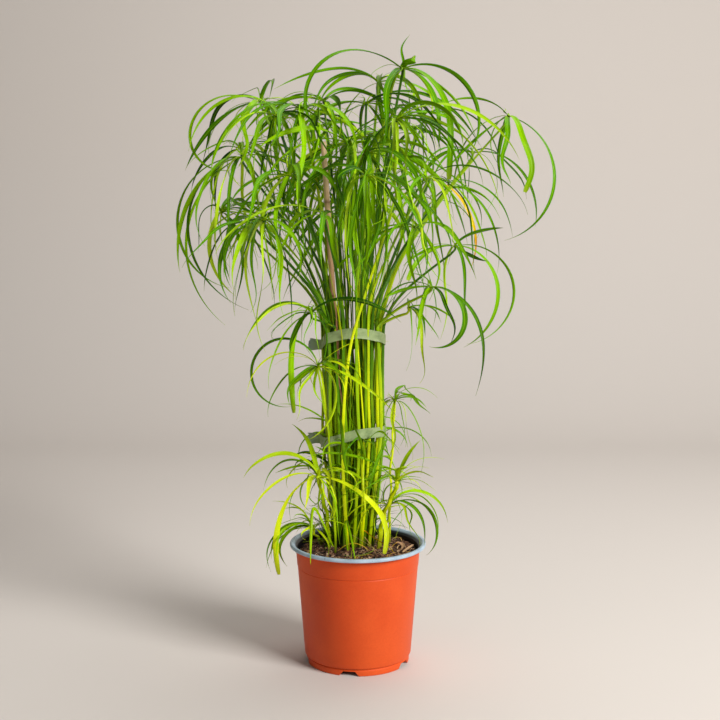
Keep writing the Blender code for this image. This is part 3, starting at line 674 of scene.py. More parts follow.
# The bracts of a culm or shoot, by its number: bearing, rise and turn in degrees, length and width in
# millimetres and, where it isn't the usual, bend.
SET_BRACTS = {
    1: [(182, 34, 215, 235, 5, 1.35), (3, 22, 150, 178, 5, 1), (-14, 10, 112, 116, 6, 0.5),
        (-32, 12, 115, 172, 6.5, 0.6), (-112, 15, 110, 145, 6, 0.5), (-50, 28, 30, 42, 8, 1),
        (60, 68, -20, 42, 2.5, 1)],
    2: [(168, 50, 130, 100, 4, 0.8), (205, 45, 120, 120, 4), (-60, 35, 115, 120, 5)],
    3: [(8, 50, 120, 125, 4), (-70, 30, 120, 130, 5), (150, 45, 120, 120, 4)],
    4: [(-35, 30, 110, 120, 5), (-150, 35, 115, 130, 4)],
    5: [(180, 24, 235, 200, 4, 1.3), (190, 2, 70, 130, 6, 0.6), (-105, 22, 112, 120, 8, 0.6)],
    6: [(178, 84, 165, 148, 4, 0.6)],
    7: [(-20, 35, 120, 130, 5)],
    8: [(-64, 6, 104, 112, 7.5, 0.5), (-102, -10, 120, 100, 5, 0.8), (95, 0, 112, 120, 4, 0.7),
        (-6, -16, 150, 202, 4, 1), (186, -28, 24, 108, 3.5), (165, 52, 80, 90, 3, 0.9)],
    9: [(196, -5, 95, 172, 6, 0.7), (176, 2, 172, 235, 4, 1), (160, -20, 125, 250, 3, 1)],
    10: [(-120, 30, 115, 130, 5)],
    11: [(-90, 30, 110, 120, 5)],
    12: [(-60, 30, 110, 140, 6)],
    13: [(-40, 35, 120, 120, 5)],
    14: [(4, 12, 190, 198, 3, 1), (-35, 45, 45, 68, 5), (-18, 5, 160, 168, 4.5, 0.8),
         (-70, -20, -20, 100, 3.5), (182, 8, 50, 70, 4)],
    15: [(-12, 0, 195, 124, 6, 1.1), (190, 5, 30, 58, 6), (-35, 5, 120, 165, 3.5, 0.8)],
    16: [(-5, 20, 120, 140, 4)],
    35: [(172, 60, 160, 128, 8, 0.15), (215, 5, 95, 60, 6, 0.5), (-60, 40, 100, 60, 4)],
    36: [(-4, 25, 70, 62, 3.5), (-25, -10, 60, 55, 3), (-60, 20, 100, 60, 3), (30, 30, 90, 60, 3)],
    37: [(184, 8, 110, 145, 8, 0.45), (-10, -5, 98, 140, 7, 1.3), (172, 78, 140, 118, 4),
         (-110, 30, 100, 70, 4), (125, 75, 60, 90, 4)],
    38: [(12, 78, 30, 60, 5), (75, 84, 20, 74, 5), (-35, 55, 70, 62, 5), (-80, 65, 60, 60, 4)],
    39: [(183, 35, 170, 85, 3.5, 0.9), (205, 60, 150, 80, 3), (165, 50, 150, 90, 3)],
    40: [(-4, 38, 175, 118, 3.5, 0.9), (25, 60, 140, 110, 3), (-40, 50, 150, 90, 3)],
    41: [(180, 78, 268, 192, 3.5, 1), (195, -20, 30, 50, 4), (-60, 50, 110, 60, 4), (-130, 20, 100, 75, 3)],
    42: [(-5, 45, 95, 45, 3), (-35, 60, 130, 60, 3), (60, 50, 100, 50, 3)],
}


# %% Stems through the tapes, and bracts clear of one another
def bract_path(hub, bearing, rise, turn, length, bend=BRACT_BEND, sway=0.0):
    """A bract's centre line: its slope falls from its rise by its turn, and its heading sways to one side."""
    along = np.linspace(0.0, 1.0, BRACT_STEPS + 1)
    slope = np.radians(rise - turn * along**bend)
    heading = np.radians(bearing + sway * along**2)
    level = np.cos(slope)
    way = np.stack([level * np.cos(heading), level * np.sin(heading), np.sin(slope)], axis=1)
    strides = (way[1:] + way[:-1]) * length / BRACT_STEPS / 2
    return np.vstack([hub, hub + np.cumsum(strides, axis=0)])


def bundle_axis(height):
    """The middle of the bundle at a height."""
    return np.array([BUNDLE_X, np.interp(height, (SOIL_TOP, UPPER_HOLD), (FOOT_BACK, 0.0))])


def spread(height):
    """How wide the bundle is at a height, as a share of its width at the tapes."""
    return np.interp(height, (SOIL_TOP, LOWER_HOLD), (FOOT_SPREAD, 1.0))


def turned_about(offset, degrees):
    """An offset from the bundle's middle, turned about it."""
    c, s = compass(math.radians(degrees))
    x, y = offset[..., 0], offset[..., 1]
    return np.stack([x * c - y * s, x * s + y * c], axis=-1)


def seat_place(seat, height):
    """Where a culm of the bundle passes a height: the bundle twists, narrows to its foot and leans."""
    twist = np.interp(height, TWIST_HEIGHTS, TWISTS)
    return np.array([*bundle_axis(height) + turned_about(seat, twist) * spread(height), height])


def cane_seats():
    """Where the cane passes through the bundle at a few heights, as seats with the room that it needs."""
    for height in np.linspace(SOIL_TOP, UPPER_HOLD, CANE_CHECKS):
        share = (height - CANE_FOOT[2]) / (CANE_TOP[2] - CANE_FOOT[2])
        place = np.array(CANE_FOOT[:2]) + share * (np.array(CANE_TOP[:2]) - CANE_FOOT[:2])
        seat = turned_about(place - bundle_axis(height), -np.interp(height, TWIST_HEIGHTS, TWISTS))
        yield seat / spread(height), CANE_SPACING / spread(height)


def bundle_seats():
    """Each culm's place in the bundle: towards its hub, clear of the others, the cane and the parting."""
    lean = (HUBS[:CULMS, :2] - (BUNDLE_X, 0)) / (HUBS[:CULMS, 2:] - LOWER_HOLD)
    size = np.linalg.norm(lean, axis=1, keepdims=True)
    seats = lean / size * (size / size.max()) ** 0.5 * BUNDLE_RADIUS
    for _ in range(SEAT_ROUNDS):
        apart = seats[:, None] - seats[None]
        distance = np.linalg.norm(apart, axis=2) + np.eye(CULMS)
        push = np.clip(SEAT_SPACING - distance, 0, None) / 2
        seats = seats + (apart / distance[..., None] * push[..., None]).sum(axis=1)
        for cane, room in cane_seats():
            away = seats - cane
            distance = np.linalg.norm(away, axis=1, keepdims=True)
            seats = seats + away / distance * np.clip(room - distance, 0, None)
        aside = seats[:, 0] - PARTING_X
        seats[:, 0] += np.sign(aside) * np.clip(PARTING - np.abs(aside), 0, None)
        reach = np.linalg.norm(seats, axis=1, keepdims=True)
        seats = seats / np.clip(reach / BUNDLE_RADIUS, 1, None)
    return seats


def arc(start, knee, end, points):
    """A smooth bend from start to end that leaves and arrives along the lines to its knee."""
    t = np.linspace(0.0, 1.0, points)[:, None]
    return (1 - t) ** 2 * start + 2 * t * (1 - t) * knee + t**2 * end


def culm_path(seat, hub):
    """A culm's centre line: straight through the two tapes, one smooth bend outwards and an upright neck."""
    foot, low, high = (seat_place(seat, height) for height in (SOIL_TOP + GAP, LOWER_HOLD, UPPER_HOLD))
    neck = hub - (0, 0, NECK)
    knee = high + (0, 0, FAN_KNEE * (neck - high)[2])
    below, between = STRAIGHT_POINTS
    return np.vstack([np.linspace(foot, low, below)[:-1], np.linspace(low, high, between)[:-1],
                      arc(high, knee, neck, FAN_POINTS)[:-1], np.linspace(neck, hub, NECK_STEPS + 1)])


def shoot_path(foot, hub):
    """A low shoot's centre line, upright at its foot."""
    foot, neck = np.array([*foot, SOIL_TOP + GAP]), hub - (0, 0, NECK)
    knee = foot + (0, 0, (neck - foot)[2] / 2)
    return np.vstack([arc(foot, knee, neck, SHOOT_POINTS)[:-1], np.linspace(neck, hub, NECK_STEPS + 1)])


class Room:
    """The places already taken, as points with a width, so that a new bract can be kept clear of them."""

    def __init__(self):
        self.points, self.widths = np.empty((0, 3)), np.empty(0)

    def take(self, path, width):
        """Takes the room along a path."""
        self.points = np.vstack([self.points, path])
        self.widths = np.append(self.widths, np.full(len(path), width))

    def crowded(self, path, width, hub):
        """Whether a path meets something, apart from what is close round its own hub."""
        path = path[np.linalg.norm(path - hub, axis=1) > HUB_CLEAR]
        near = ((self.points > path.min(axis=0) - BRACT_CLEAR)
                & (self.points < path.max(axis=0) + BRACT_CLEAR)).all(axis=1)
        near &= np.linalg.norm(self.points - hub, axis=1) > HUB_CLEAR
        distance = np.linalg.norm(path[:, None] - self.points[near], axis=2)
        return bool((distance < (self.widths[near] + width) * WIDTH_SHARE + BRACT_MARGIN).any())


def grow():
    """Every culm and shoot, as (centre line, bracts), where a bract is (path, bearing, width, sway)."""
    draw, room = np.random.default_rng(SEED), Room()
    room.take(np.linspace(CANE_FOOT, CANE_TOP, CANE_POINTS), CANE_RADIUS * 2)
    lines = [culm_path(seat, hub) for seat, hub in zip(bundle_seats(), HUBS)]
    lines += [shoot_path(foot, hub) for foot, hub in zip(SHOOT_FEET, HUBS[CULMS:])]
    for line in lines:
        room.take(line, STEM_ROOM)
        room.take(line[-1:], HUB_ROOM)
    plants = [(line, []) for line in lines]
    for number, (line, bracts) in enumerate(plants, 1):
        for bract in SET_BRACTS.get(number, ()):
            set_bract(line[-1], bracts, room, bract)
    for line, bracts in plants[:CULMS]:
        fill_umbel(line[-1], bracts, room, draw)
    return plants


def set_bract(hub, bracts, room, bract):
    """Adds a listed bract, turned no further than it takes to be clear."""
    wanted, rise, turn, length, width, *bend = bract
    width /= 1000
    for nudge in NUDGES:
        path = bract_path(hub, wanted + nudge, rise, turn, length / 1000, *bend)
        if not room.crowded(path, width, hub):
            bracts.append((path, wanted + nudge, width, 0.0))
            room.take(path, width)
            return


def fill_umbel(hub, bracts, room, draw):
    """Adds bracts by rule, each turned until it is clear of what has grown."""
    reach = math.hypot(hub[0] - BUNDLE_X, hub[1])
    outward = math.degrees(math.atan2(hub[1], hub[0] - BUNDLE_X))
    for _ in range(FILL_TRIES):
        if len(bracts) >= BRACTS_EACH:
            return
        bearing = draw.uniform(-180, 180)
        facing = math.cos(math.radians(bearing - outward))
        rise = draw.uniform(*FILL_RISE) - LEAN_PER_METRE * facing * reach
        turn = draw.uniform(*FILL_TURN)
        length = draw.uniform(*FILL_LENGTH) * (1 - INWARD_SHORTER * (1 - facing))
        width, sway = draw.uniform(*FILL_WIDTH), draw.uniform(*FILL_SWAY)
        beside = any(abs((bearing - other[1] + 180) % 360 - 180) < BEARING_APART for other in bracts)
        path = bract_path(hub, bearing, rise, turn, length, sway=sway)
        inside = (np.hypot(path[:, 0], path[:, 1]).max() < CROWN_RADIUS
                  and path[:, 2].min() > CROWN_FOOT and path[:, 2].max() < CROWN_TOP)
        if inside and not beside and not room.crowded(path, width, hub):
            bracts.append((path, bearing, width, sway))
            room.take(path, width)


plants = grow()
print(len(plants), "plants with", sum(len(bracts) for _, bracts in plants), "main bracts")

# %% [markdown]
# ## The finish of stems and bracts
# Both have fine veins along their length and a soft gloss. A bract has a pale midrib and a paler root,
# and a few are turning yellow and orange. A stem is brighter low down and darker higher up, and brown
# at its foot. Each strand's tint moves it from dark green to a bright yellow-green.

# %% Stem, blade and shoot finishes
stem_skin, tree, shader = new_finish("stem_skin", 0.36, 0.15)
height = height_of(tree)
lines, _ = lined(tree, 9.0, 3.0)
tint = reckon(tree, "ADD", written(tree, "tint"), spread_over(tree, height, 0.54, 0.32, -0.26, 0.12))
tint = reckon(tree, "ADD", tint, spread_over(tree, mottled(tree, 26.0, 0.25), 0.0, 1.0, -0.16, 0.16))
colour = ramp(tree, tint, (0.0, 40, 76, 0), (0.3, 76, 120, 0), (0.6, 142, 180, 2), (1.0, 214, 226, 2))
colour = tinge(tree, colour, lines, 0.35, (44, 86, 4))
colour = tinge(tree, colour, spread_over(tree, height, 0.165, 0.143), 0.75, (70, 58, 28))
dress(tree, shader, colour, lines, 0.0003, 0.5)


def blade_finish(name, *stops):
    """A folded blade: veins, a pale midrib, root and tip, and orange patches where it ages."""
    finish, tree, shader = new_finish(name, 0.34, 0.08)
    lines, (across, along, _) = lined(tree, 16.0, 2.0)
    colour = tinge(tree, ramp(tree, written(tree, "tint"), *stops), lines, 0.3, (46, 82, 0))
    across = reckon(tree, "ABSOLUTE", across)
    for value, plain, full, most, tint in ((across, 0.10, 0.04, 0.45, (166, 210, 30)),
                                           (along, 0.10, 0.0, 0.6, (176, 208, 14)),
                                           (along, 0.90, 1.0, 0.4, (186, 184, 60))):
        colour = mix(tree, spread_over(tree, value, plain, full, 0.0, most), colour, tone(*tint))
    worn = ramp(tree, mottled(tree, 45.0, 0.2), (0.0, 222, 196, 24), (1.0, 226, 136, 24))
    colour = mix(tree, written(tree, "age"), colour, worn)
    tree.links.new(spread_over(tree, lines, 0.0, 1.0, 0.10, 0.22), shader.inputs["Roughness"])
    dress(tree, shader, colour, lines, 0.0003, 0.5)
    return finish


bract_blade = blade_finish("bract_blade", (0.0, 42, 84, 0), (0.35, 90, 148, 0), (0.75, 144, 196, 0),
                           (1.0, 196, 226, 44))
young_blade = blade_finish("young_blade", (0.0, 70, 124, 4), (0.5, 150, 196, 6), (1.0, 218, 232, 30))

# %% [markdown]
# ## Stems and bracts as strands
# A sedge's stem is a rod with three soft corners that swells a little at the hub. A bract is a long
# folded blade: widest near its root, narrow for the second half, and turned slowly about its own line.
# The widest ones are blunt, because they were trimmed.

# %% Shaping one stem and one bract
STEM_RINGS, STEM_CORNER, PEAT_DEPTH = 44, 0.14, 0.008
HUB_SWELL, HUB_HALF = (1.0, 1.0, 1.35, 1.5, 1.0, 0.35), 0.0035
WOBBLE, WOBBLE_TURNS = 0.0012, (2.0, 4.0)
WAVE, WAVE_SHARES, WAVE_TURNS, FOLD = 0.0085, (0.3, 1.0), (0.6, 1.6), (22, 6)
TWIST_RANGE, TWIST_LENGTH, TWIST_POWER, BLUNT_TWIST = (60, 230), 0.15, 1.2, 0.7
# A blade's outline, in shares of its length and width: its narrow root, and how it or a blunt one narrows.
ROOT_LENGTH, ROOT_WIDTH, TAPER_FROM, TAPER_POWER = 0.1, 0.6, 0.4, 1.35
BLUNT_FROM, BLUNT_TAPER, BLUNT_END, LEAST_HALF = 0.0065, 0.25, 0.75, 0.00008


def grow_rod(strands, draw, line, radii, tint):
    """A stem from under the peat to its hub, which swells and closes. It isn't quite straight."""
    stops = np.unique(np.round(np.linspace(0, len(line) - 3, STEM_RINGS)).astype(int))
    share = np.linspace(0.0, 1.0, len(stops))
    start, turns = draw.uniform(0, math.tau, 2), draw.uniform(*WOBBLE_TURNS, 2)
    sway = WOBBLE * np.sin(math.pi * share)[:, None] * np.sin(start + math.tau * np.outer(share, turns))
    path = line[stops] + np.column_stack([sway, np.zeros(len(stops))])
    thick = np.interp(share, (0, 0.5, 1), radii)
    hub = line[-1] + np.outer(np.linspace(-HUB_HALF, HUB_HALF, len(HUB_SWELL)), (0, 0, 1))
    thick = np.concatenate([thick[:1], thick, radii[2] * np.array(HUB_SWELL)])
    strands.add_rod(np.vstack([path[0] - (0, 0, PEAT_DEPTH), path, hub]), thick, tint, corner=STEM_CORNER)


def grow_blade(strands, draw, path, bearing, width, sway, tint, age=0.0, blunt=False, rings=26, tries=1):
    """One bract along its line, waved and twisted: of several tries, the one that shows most face."""
    share = np.linspace(0.0, 1.0, rings)
    heading = np.radians(bearing + sway * share**2)
    side = np.stack([-np.sin(heading), np.cos(heading), np.zeros(rings)], axis=1)
    wave = draw.uniform(*WAVE_SHARES) * WAVE * share * np.sin(math.tau * draw.uniform(*WAVE_TURNS) * share
                                                              + draw.uniform(0, math.tau))
    path = read_off(path, np.linspace(0.0, 1.0, len(path)), share) + side * wave[:, None]
    root = np.interp(share, (0, ROOT_LENGTH), (ROOT_WIDTH, 1.0))
    late = np.clip((share - TAPER_FROM) / (1 - TAPER_FROM), 0, 1)
    end = 1 - (BLUNT_TAPER * share**2 if blunt else late**TAPER_POWER)
    half = np.maximum(width / 2 * root * end, LEAST_HALF)
    if blunt:
        half[-1] *= BLUNT_END
    across, up = axes(path, side)
    length = np.linalg.norm(np.diff(path, axis=0), axis=1).sum()
    freely = BLUNT_TWIST if blunt else min(1.0, length / TWIST_LENGTH)
    turns = [math.radians(draw.choice([-1, 1]) * draw.uniform(*TWIST_RANGE) * freely) * share**TWIST_POWER
             for _ in range(tries)]
    shown = [np.abs(up[:, 1] * np.cos(turn) - across[:, 1] * np.sin(turn))[rings // 4:].mean()
             for turn in turns]
    fold = np.radians(np.interp(share, (0, 1), FOLD))
    strands.add_blade(path, side, half, fold, turns[shown.index(max(shown))], tint, age, 1)


# %% [markdown]
# ## Rules for the small bracts
# Each umbel also gets thin bracts, curled wisps, hairs and a tuft of pale ones at its hub, all too thin
# for solids. Each kind has its own ranges. One is drawn again and again until it stays inside the crown
# and clear of the cane, so that the plant keeps the outline that the solids give it.

# %% Ranges for thin bracts, hairs and tufts
# A kind: how many, the ranges of rise, turn, length, width, sway, bend and tint, then rings and tries.
# Drooping ones grow on the hubs in the middle, and wisps on those of middle height.
THIN = 5, (-25, 45), (70, 140), (0.09, 0.19), (0.0026, 0.0062), (-75, 75), (0.4, 0.9), (0.0, 1.0), 20, 2
DROOP = 9, (-35, 45), (75, 125), (0.12, 0.20), (0.0028, 0.0062), (-50, 50), (0.3, 0.6), (0.1, 1.0), 20, 3
HAIR = 2, (0, 70), (50, 130), (0.04, 0.10), (0.0007, 0.0013), (-60, 60), (0.5, 1.0), (0.6, 1.0), 12, 1
TUFT = 6, (20, 88), (-10, 60), (0.006, 0.018), (0.0012, 0.0024), (-30, 30), (0.7, 0.8), (0.7, 1.0), 5, 1
LOW = 12, (-10, 80), (60, 170), (0.04, 0.13), (0.0012, 0.0046), (-60, 60), (0.5, 1.0), (0.1, 1.0), 16, 2
WISP = 5, (-20, 60), (100, 210), (0.05, 0.12), (0.0010, 0.0020), (-110, 110), (0.7, 1.3), (0.3, 1.0), 18, 1
WISP_HUBS, DROOP_HUBS, DROOP_ASIDE = (0.48, 0.70), (0.50, 0.67), 0.07
OPEN_FROM, OPEN_FEWER, SMALL_TRIES, HUB_BEYOND = 0.06, 5, 12, 0.02
DOME_SLOPE, DOME_FROM = 0.5, 0.11
CANE_VIEW, CANE_CLEAR, CANE_OPEN = 1.5, 0.006, 0.55
# How far out, how low and how high the small bracts may reach.
CROWN_LIMITS, LOW_LIMITS = (0.205, 0.385, 0.745), (0.120, 0.150, 0.45)
UNDER_LIMITS, UNDER_BELOW = (0.170, 0.300, 0.49), 0.48


def hides_cane(path):
    """Whether a path hangs in front of the cane, where the cane stands in the open."""
    share = (path[:, 2] - CANE_FOOT[2]) / (CANE_TOP[2] - CANE_FOOT[2])
    cane_x = CANE_FOOT[0] + share * (CANE_TOP[0] - CANE_FOOT[0])
    seen_x = path[:, 0] * CANE_VIEW / (CANE_VIEW + path[:, 1] - CANE_TOP[1])
    return bool(((np.abs(seen_x - cane_x) < CANE_CLEAR) & (path[:, 1] < CANE_TOP[1])
                 & (share > CANE_OPEN) & (share < 1)).any())


def add_small(strands, draw, hub, kind, limits):
    """Adds one kind of small bract to a hub: far fewer on the right, where the crown is open."""
    count, rises, turns, lengths, widths, sways, bends, tints, rings, tries = kind
    out, foot, top = limits
    for _ in range(count // (OPEN_FEWER if hub[0] > OPEN_FROM else 1)):
        for _ in range(SMALL_TRIES):
            bearing, sway = draw.uniform(-180, 180), draw.uniform(*sways)
            length, width = draw.uniform(*lengths), draw.uniform(*widths)
            path = bract_path(hub, bearing, draw.uniform(*rises), draw.uniform(*turns), length,
                              draw.uniform(*bends), sway)
            reach = np.hypot(path[:, 0], path[:, 1])
            roof = top - DOME_SLOPE * np.clip(reach - DOME_FROM, 0, None)
            inside = (reach.max() < max(out, math.hypot(hub[0], hub[1]) + HUB_BEYOND)
                      and path[:, 2].min() > foot and (path[1:, 2] < roof[1:]).all())
            if inside and not hides_cane(path):
                grow_blade(strands, draw, path, bearing, width, sway, draw.uniform(*tints), rings=rings,
                           tries=tries)
                break


# %% Growing every culm and shoot
CULM_RADII, THIN_SHOOT = (0.0021, 0.0020, 0.0014), (0.0016, 0.0015, 0.0012)
BRIGHT_SHOOTS, BRIGHT_RADII = (1, 2), (0.0029, 0.0027, 0.0024)
RADIUS_SHARES, BRACT_RINGS = (0.82, 1.12), 32
HAND_BROADER, BROADER, OPEN_BROADER, BROAD_SHOOT = 1.34, 1.12, 0.7, 1.6
BROAD_FROM, BROAD_BROADER = 0.007, 1.05
HAND_TRIES, RULE_TRIES = 7, 2
# The ranges of tint: of stems, every fourth of them bright, and of bracts.
SHOOT_STEMS, STEMS, BRIGHT_STEMS, BRIGHT_EVERY = (0.5, 0.9), (0.2, 0.8), (0.75, 1.0), 4
BLUNT_SHADES, HAND_SHADES, BRIGHT_SHADES, DULL_SHADES = (0.4, 0.8), (0.15, 0.7), (0.6, 1.0), (0.0, 0.7)
UMBEL_SHADES, SHADE_SPREAD, LIGHTEST = (0.15, 0.6), (-0.35, 0.5), 0.85
# More bracts, given one by one: bearing, rise, turn, length and width in millimetres, bend, tint and age.
MORE_BRACTS = {
    3: [(-95, 20, 108, 150, 5, 0.7, 0.65, 0)],
    4: [(-88, 10, 98, 168, 7.2, 0.6, 0.65, 0), (200, 35, 125, 160, 4.5, 0.8, 0.4, 0)],
    5: [(-60, 10, 104, 190, 4.8, 0.6, 0.5, 0)],
    9: [(-70, 12, 100, 215, 5.8, 0.5, 0.7, 0), (186, -5, 155, 245, 4.2, 0.8, 0.1, 0)],
    10: [(-100, 0, 92, 170, 5.2, 0.5, 0.6, 0), (200, 5, 100, 160, 4, 0.6, 0.3, 0)],
    11: [(-75, 10, 105, 130, 5.5, 0.6, 0.6, 0), (-150, 20, 130, 120, 4, 0.7, 0.65, 0)],
    12: [(-80, 0, 95, 190, 5.5, 0.5, 0.65, 0), (-20, 15, 115, 170, 4.5, 0.6, 0.5, 0)],
    13: [(-95, 10, 100, 120, 6, 0.6, 0.65, 0), (190, 20, 120, 110, 4.5, 0.7, 0.6, 0)],
    14: [(200, 5, 70, 80, 6.6, 0.9, 0.65, 0), (-80, 0, 100, 120, 4.2, 0.7, 0.3, 0)],
    15: [(-120, -25, 60, 80, 5.5, 0.8, 0.65, 0), (-60, 0, 100, 90, 4.6, 0.8, 0, 0)],
    17: [(-18, 2, 112, 145, 4.8, 0.7, 0.9, 0.95), (-85, 10, 95, 190, 5, 0.6, 0.6, 0)],
    18: [(-90, 5, 92, 200, 5, 0.6, 0.7, 0), (-130, 10, 110, 190, 4.2, 0.6, 0.4, 0)],
    29: [(-90, -10, 85, 165, 5, 0.6, 0.6, 0), (-30, 5, 110, 160, 4, 0.7, 0.3, 0)],
    37: [(155, 62, 150, 105, 3.2, 0.9, 0.2, 0), (205, 30, 115, 120, 3.8, 0.9, 0.9, 0),
         (-75, 55, 150, 95, 4.8, 1, 0.9, 0), (-20, 60, 160, 75, 3, 1, 0.8, 0)],
    39: [(186, 48, 165, 105, 3, 0.8, 0.1, 0), (170, 25, 110, 90, 2.6, 0.7, 0.2, 0),
         (215, 50, 150, 90, 3.4, 0.9, 0.5, 0)],
    40: [(-60, 40, 130, 85, 3.4, 0.8, 0.7, 0), (15, 60, 165, 100, 3, 0.8, 0.4, 0)],
    41: [(185, 62, 150, 120, 3, 0.8, 0.9, 0), (165, 20, 110, 100, 3, 0.7, 0.2, 0),
         (-40, 45, 140, 80, 3.6, 0.9, 0.9, 0)],
}


def broader(width, by_hand, low, hub):
    """How much broader than its solid a bract is drawn."""
    if width >= BROAD_FROM:
        return BROAD_BROADER
    if low or by_hand:
        return BROAD_SHOOT if low else HAND_BROADER
    return OPEN_BROADER if hub[0] > OPEN_FROM else BROADER


def kinds_at(hub, low):
    """The kinds of small bract that a hub gets, and how far they may reach."""
    kinds, limits = ([LOW, HAIR, TUFT], LOW_LIMITS) if low else ([THIN, HAIR, TUFT], CROWN_LIMITS)
    if not low and hub[2] < UNDER_BELOW:
        kinds, limits = [LOW, TUFT], UNDER_LIMITS
    if DROOP_HUBS[0] < hub[2] < DROOP_HUBS[1] and abs(hub[0]) < DROOP_ASIDE:
        kinds.append(DROOP)
    if WISP_HUBS[0] < hub[2] < WISP_HUBS[1]:
        kinds.append(WISP)
    return kinds, limits


draw, stem_draw = np.random.default_rng(5), np.random.default_rng(8)
for number, (line, bracts) in enumerate(plants, 1):
    strands, hub, low, bright = Strands(), line[-1], number > CULMS, number - CULMS in BRIGHT_SHOOTS
    if low:
        node, radii = f"shoot_{number - CULMS}", BRIGHT_RADII if bright else THIN_SHOOT
        stem_tint = draw.uniform(*SHOOT_STEMS)
    else:
        node, radii = f"culm_{number:02}", CULM_RADII
        stem_tint = stem_draw.uniform(*(STEMS if number % BRIGHT_EVERY else BRIGHT_STEMS))
    grow_rod(strands, draw, line, draw.uniform(*RADIUS_SHARES) * np.array(radii), stem_tint)
    umbel_tint = draw.uniform(*UMBEL_SHADES)
    for order, (path, bearing, width, sway) in enumerate(bracts):
        by_hand, blunt = order < len(SET_BRACTS.get(number, ())), width >= BLUNT_FROM
        if by_hand:
            tint = draw.uniform(*(BLUNT_SHADES if blunt else HAND_SHADES))
        else:
            tint = min(LIGHTEST, umbel_tint + draw.uniform(*SHADE_SPREAD))
        if low:
            tint = 1.0 if blunt else draw.uniform(*(BRIGHT_SHADES if by_hand and bright else DULL_SHADES))
        grow_blade(strands, draw, path, bearing, width * broader(width, by_hand, low, hub), sway, tint, 0.0,
                   blunt, BRACT_RINGS, HAND_TRIES if by_hand else RULE_TRIES)
    for bearing, rise, turn, length, width, bend, tint, age in MORE_BRACTS.get(number, ()):
        path = bract_path(hub, bearing, rise, turn, length / 1000, bend)
        grow_blade(strands, draw, path, bearing, width / 1000, 0.0, tint, age, width / 1000 >= BLUNT_FROM,
                   BRACT_RINGS, HAND_TRIES)
    kinds, limits = kinds_at(hub, low)
    for kind in kinds:
        add_small(strands, draw, hub, kind, limits)
    piece = strands.finish(node + "_grown", stem_skin, young_blade if low else bract_blade)
    keep(piece, "young_shoot" if low else "culm", node)

# %% [markdown]
# ## Young stalks
# Among the old stems stand thin young ones that have no umbel yet, and some lean out beside an old stem.
# One bright stalk has slipped out in front of the upper tape, and a few leaves hang in front of the stems.

# %% Young stalks and the leaves among them
STALKS, FAN_STALKS, STALK_SPAN, FAN_AWAY = 74, 34, 0.036, 0.006
STALK_TOPS, STALK_DRIFT, STALK_RADII, STALK_STEPS = (0.43, 0.60), (0.4, 2.2), (0.0009, 0.0017), 12
STALK_TINTS, STALK_CORNER, STALK_TAPER, FRONT_RADII = (0.2, 1.0), 0.12, 0.9, (0.0024, 0.0014)
# A stalk beside an old stem passes a few places along it: every tenth point, and how many of them.
BESIDE_EVERY, BESIDE_COUNT = 10, (4, 8)
STALK_HEIGHTS = np.linspace(SOIL_TOP - PEAT_DEPTH, UPPER_HOLD, STALK_STEPS)
# Places and widths in millimetres. A leaf: its width, its tint, then the places it passes.
FRONT_STALK = [(-12, -4, 135), (-18, -20, 220), (-19, -27, 288), (-16.5, -40, 340), (-10, -48.5, 400),
               (-2, -50, 430), (14, -50, 480), (40, -52, 560)]
FRONT_LEAVES = [
    (6, 0.15, [(-24, -30, 318), (-20, -50, 308), (-18.5, -53.5, 290), (-16, -50, 262), (-12, -46, 245)]),
    (5.5, 0.25, [(-10, -30, 312), (-4, -52, 303), (3, -55, 290), (8, -52, 272), (10, -47, 258)]),
    (5.8, 0.10, [(36, -20, 292), (34, -44, 286), (26, -52, 272), (18, -51, 250), (14, -48, 225)]),
    (4.6, 0.90, [(2, -20, 270), (4, -46, 262), (6, -52, 235), (10, -50, 195)]),
]


def through(points, rounds=4):
    """A smooth path by way of places in millimetres."""
    return smoothed(np.array(points) / 1000, rounds)


stalks = Strands()
left_culms = [line for line, _ in plants[:CULMS] if line[-1][0] < OPEN_FROM]
for number in range(STALKS):
    low_seat, high_seat, top = on_disc(draw, STALK_SPAN), on_disc(draw, STALK_SPAN), draw.uniform(*STALK_TOPS)
    drift = (*(high_seat * draw.uniform(*STALK_DRIFT)), top - UPPER_HOLD)
    if number < FAN_STALKS:
        away = draw.uniform(-1, 1, 2) * FAN_AWAY
        beside = left_culms[int(draw.integers(len(left_culms)))][-FAN_POINTS:] + (*away, 0.0)
        high_seat = turned_about(beside[0][:2] - bundle_axis(UPPER_HOLD), -TWISTS[-1])
        beside = beside[BESIDE_EVERY::BESIDE_EVERY][:int(draw.integers(*BESIDE_COUNT))]
    path = np.array([seat_place(low_seat + (high_seat - low_seat) * step / (STALK_STEPS - 1), height)
                     for step, height in enumerate(STALK_HEIGHTS)])
    path = smoothed(np.vstack([path, beside if number < FAN_STALKS else path[-1] + drift]), 2)
    share = np.linspace(0, 1, len(path))
    thick = draw.uniform(*STALK_RADII) * (1 - share**3 * STALK_TAPER)
    stalks.add_rod(path, thick, stem_draw.uniform(*STALK_TINTS), 7, STALK_CORNER)
path = through(FRONT_STALK)
stalks.add_rod(path, np.linspace(*FRONT_RADII, len(path)), 1.0, 9, STALK_CORNER)
for width, tint, points in FRONT_LEAVES:
    grow_blade(stalks, draw, through(points), 0, width / 1000, 0.0, tint, tries=HAND_TRIES)
keep(stalks.finish("young_stalks", stem_skin, young_blade), "culm")

# %% [markdown]
# ## The thicket at the foot
# Thin dark leaves crowd the foot of the bundle beside it and behind it, and short ones come out between
# the stems further up. Two longer leaves bend down over the peat in front, and a small orange one leans.

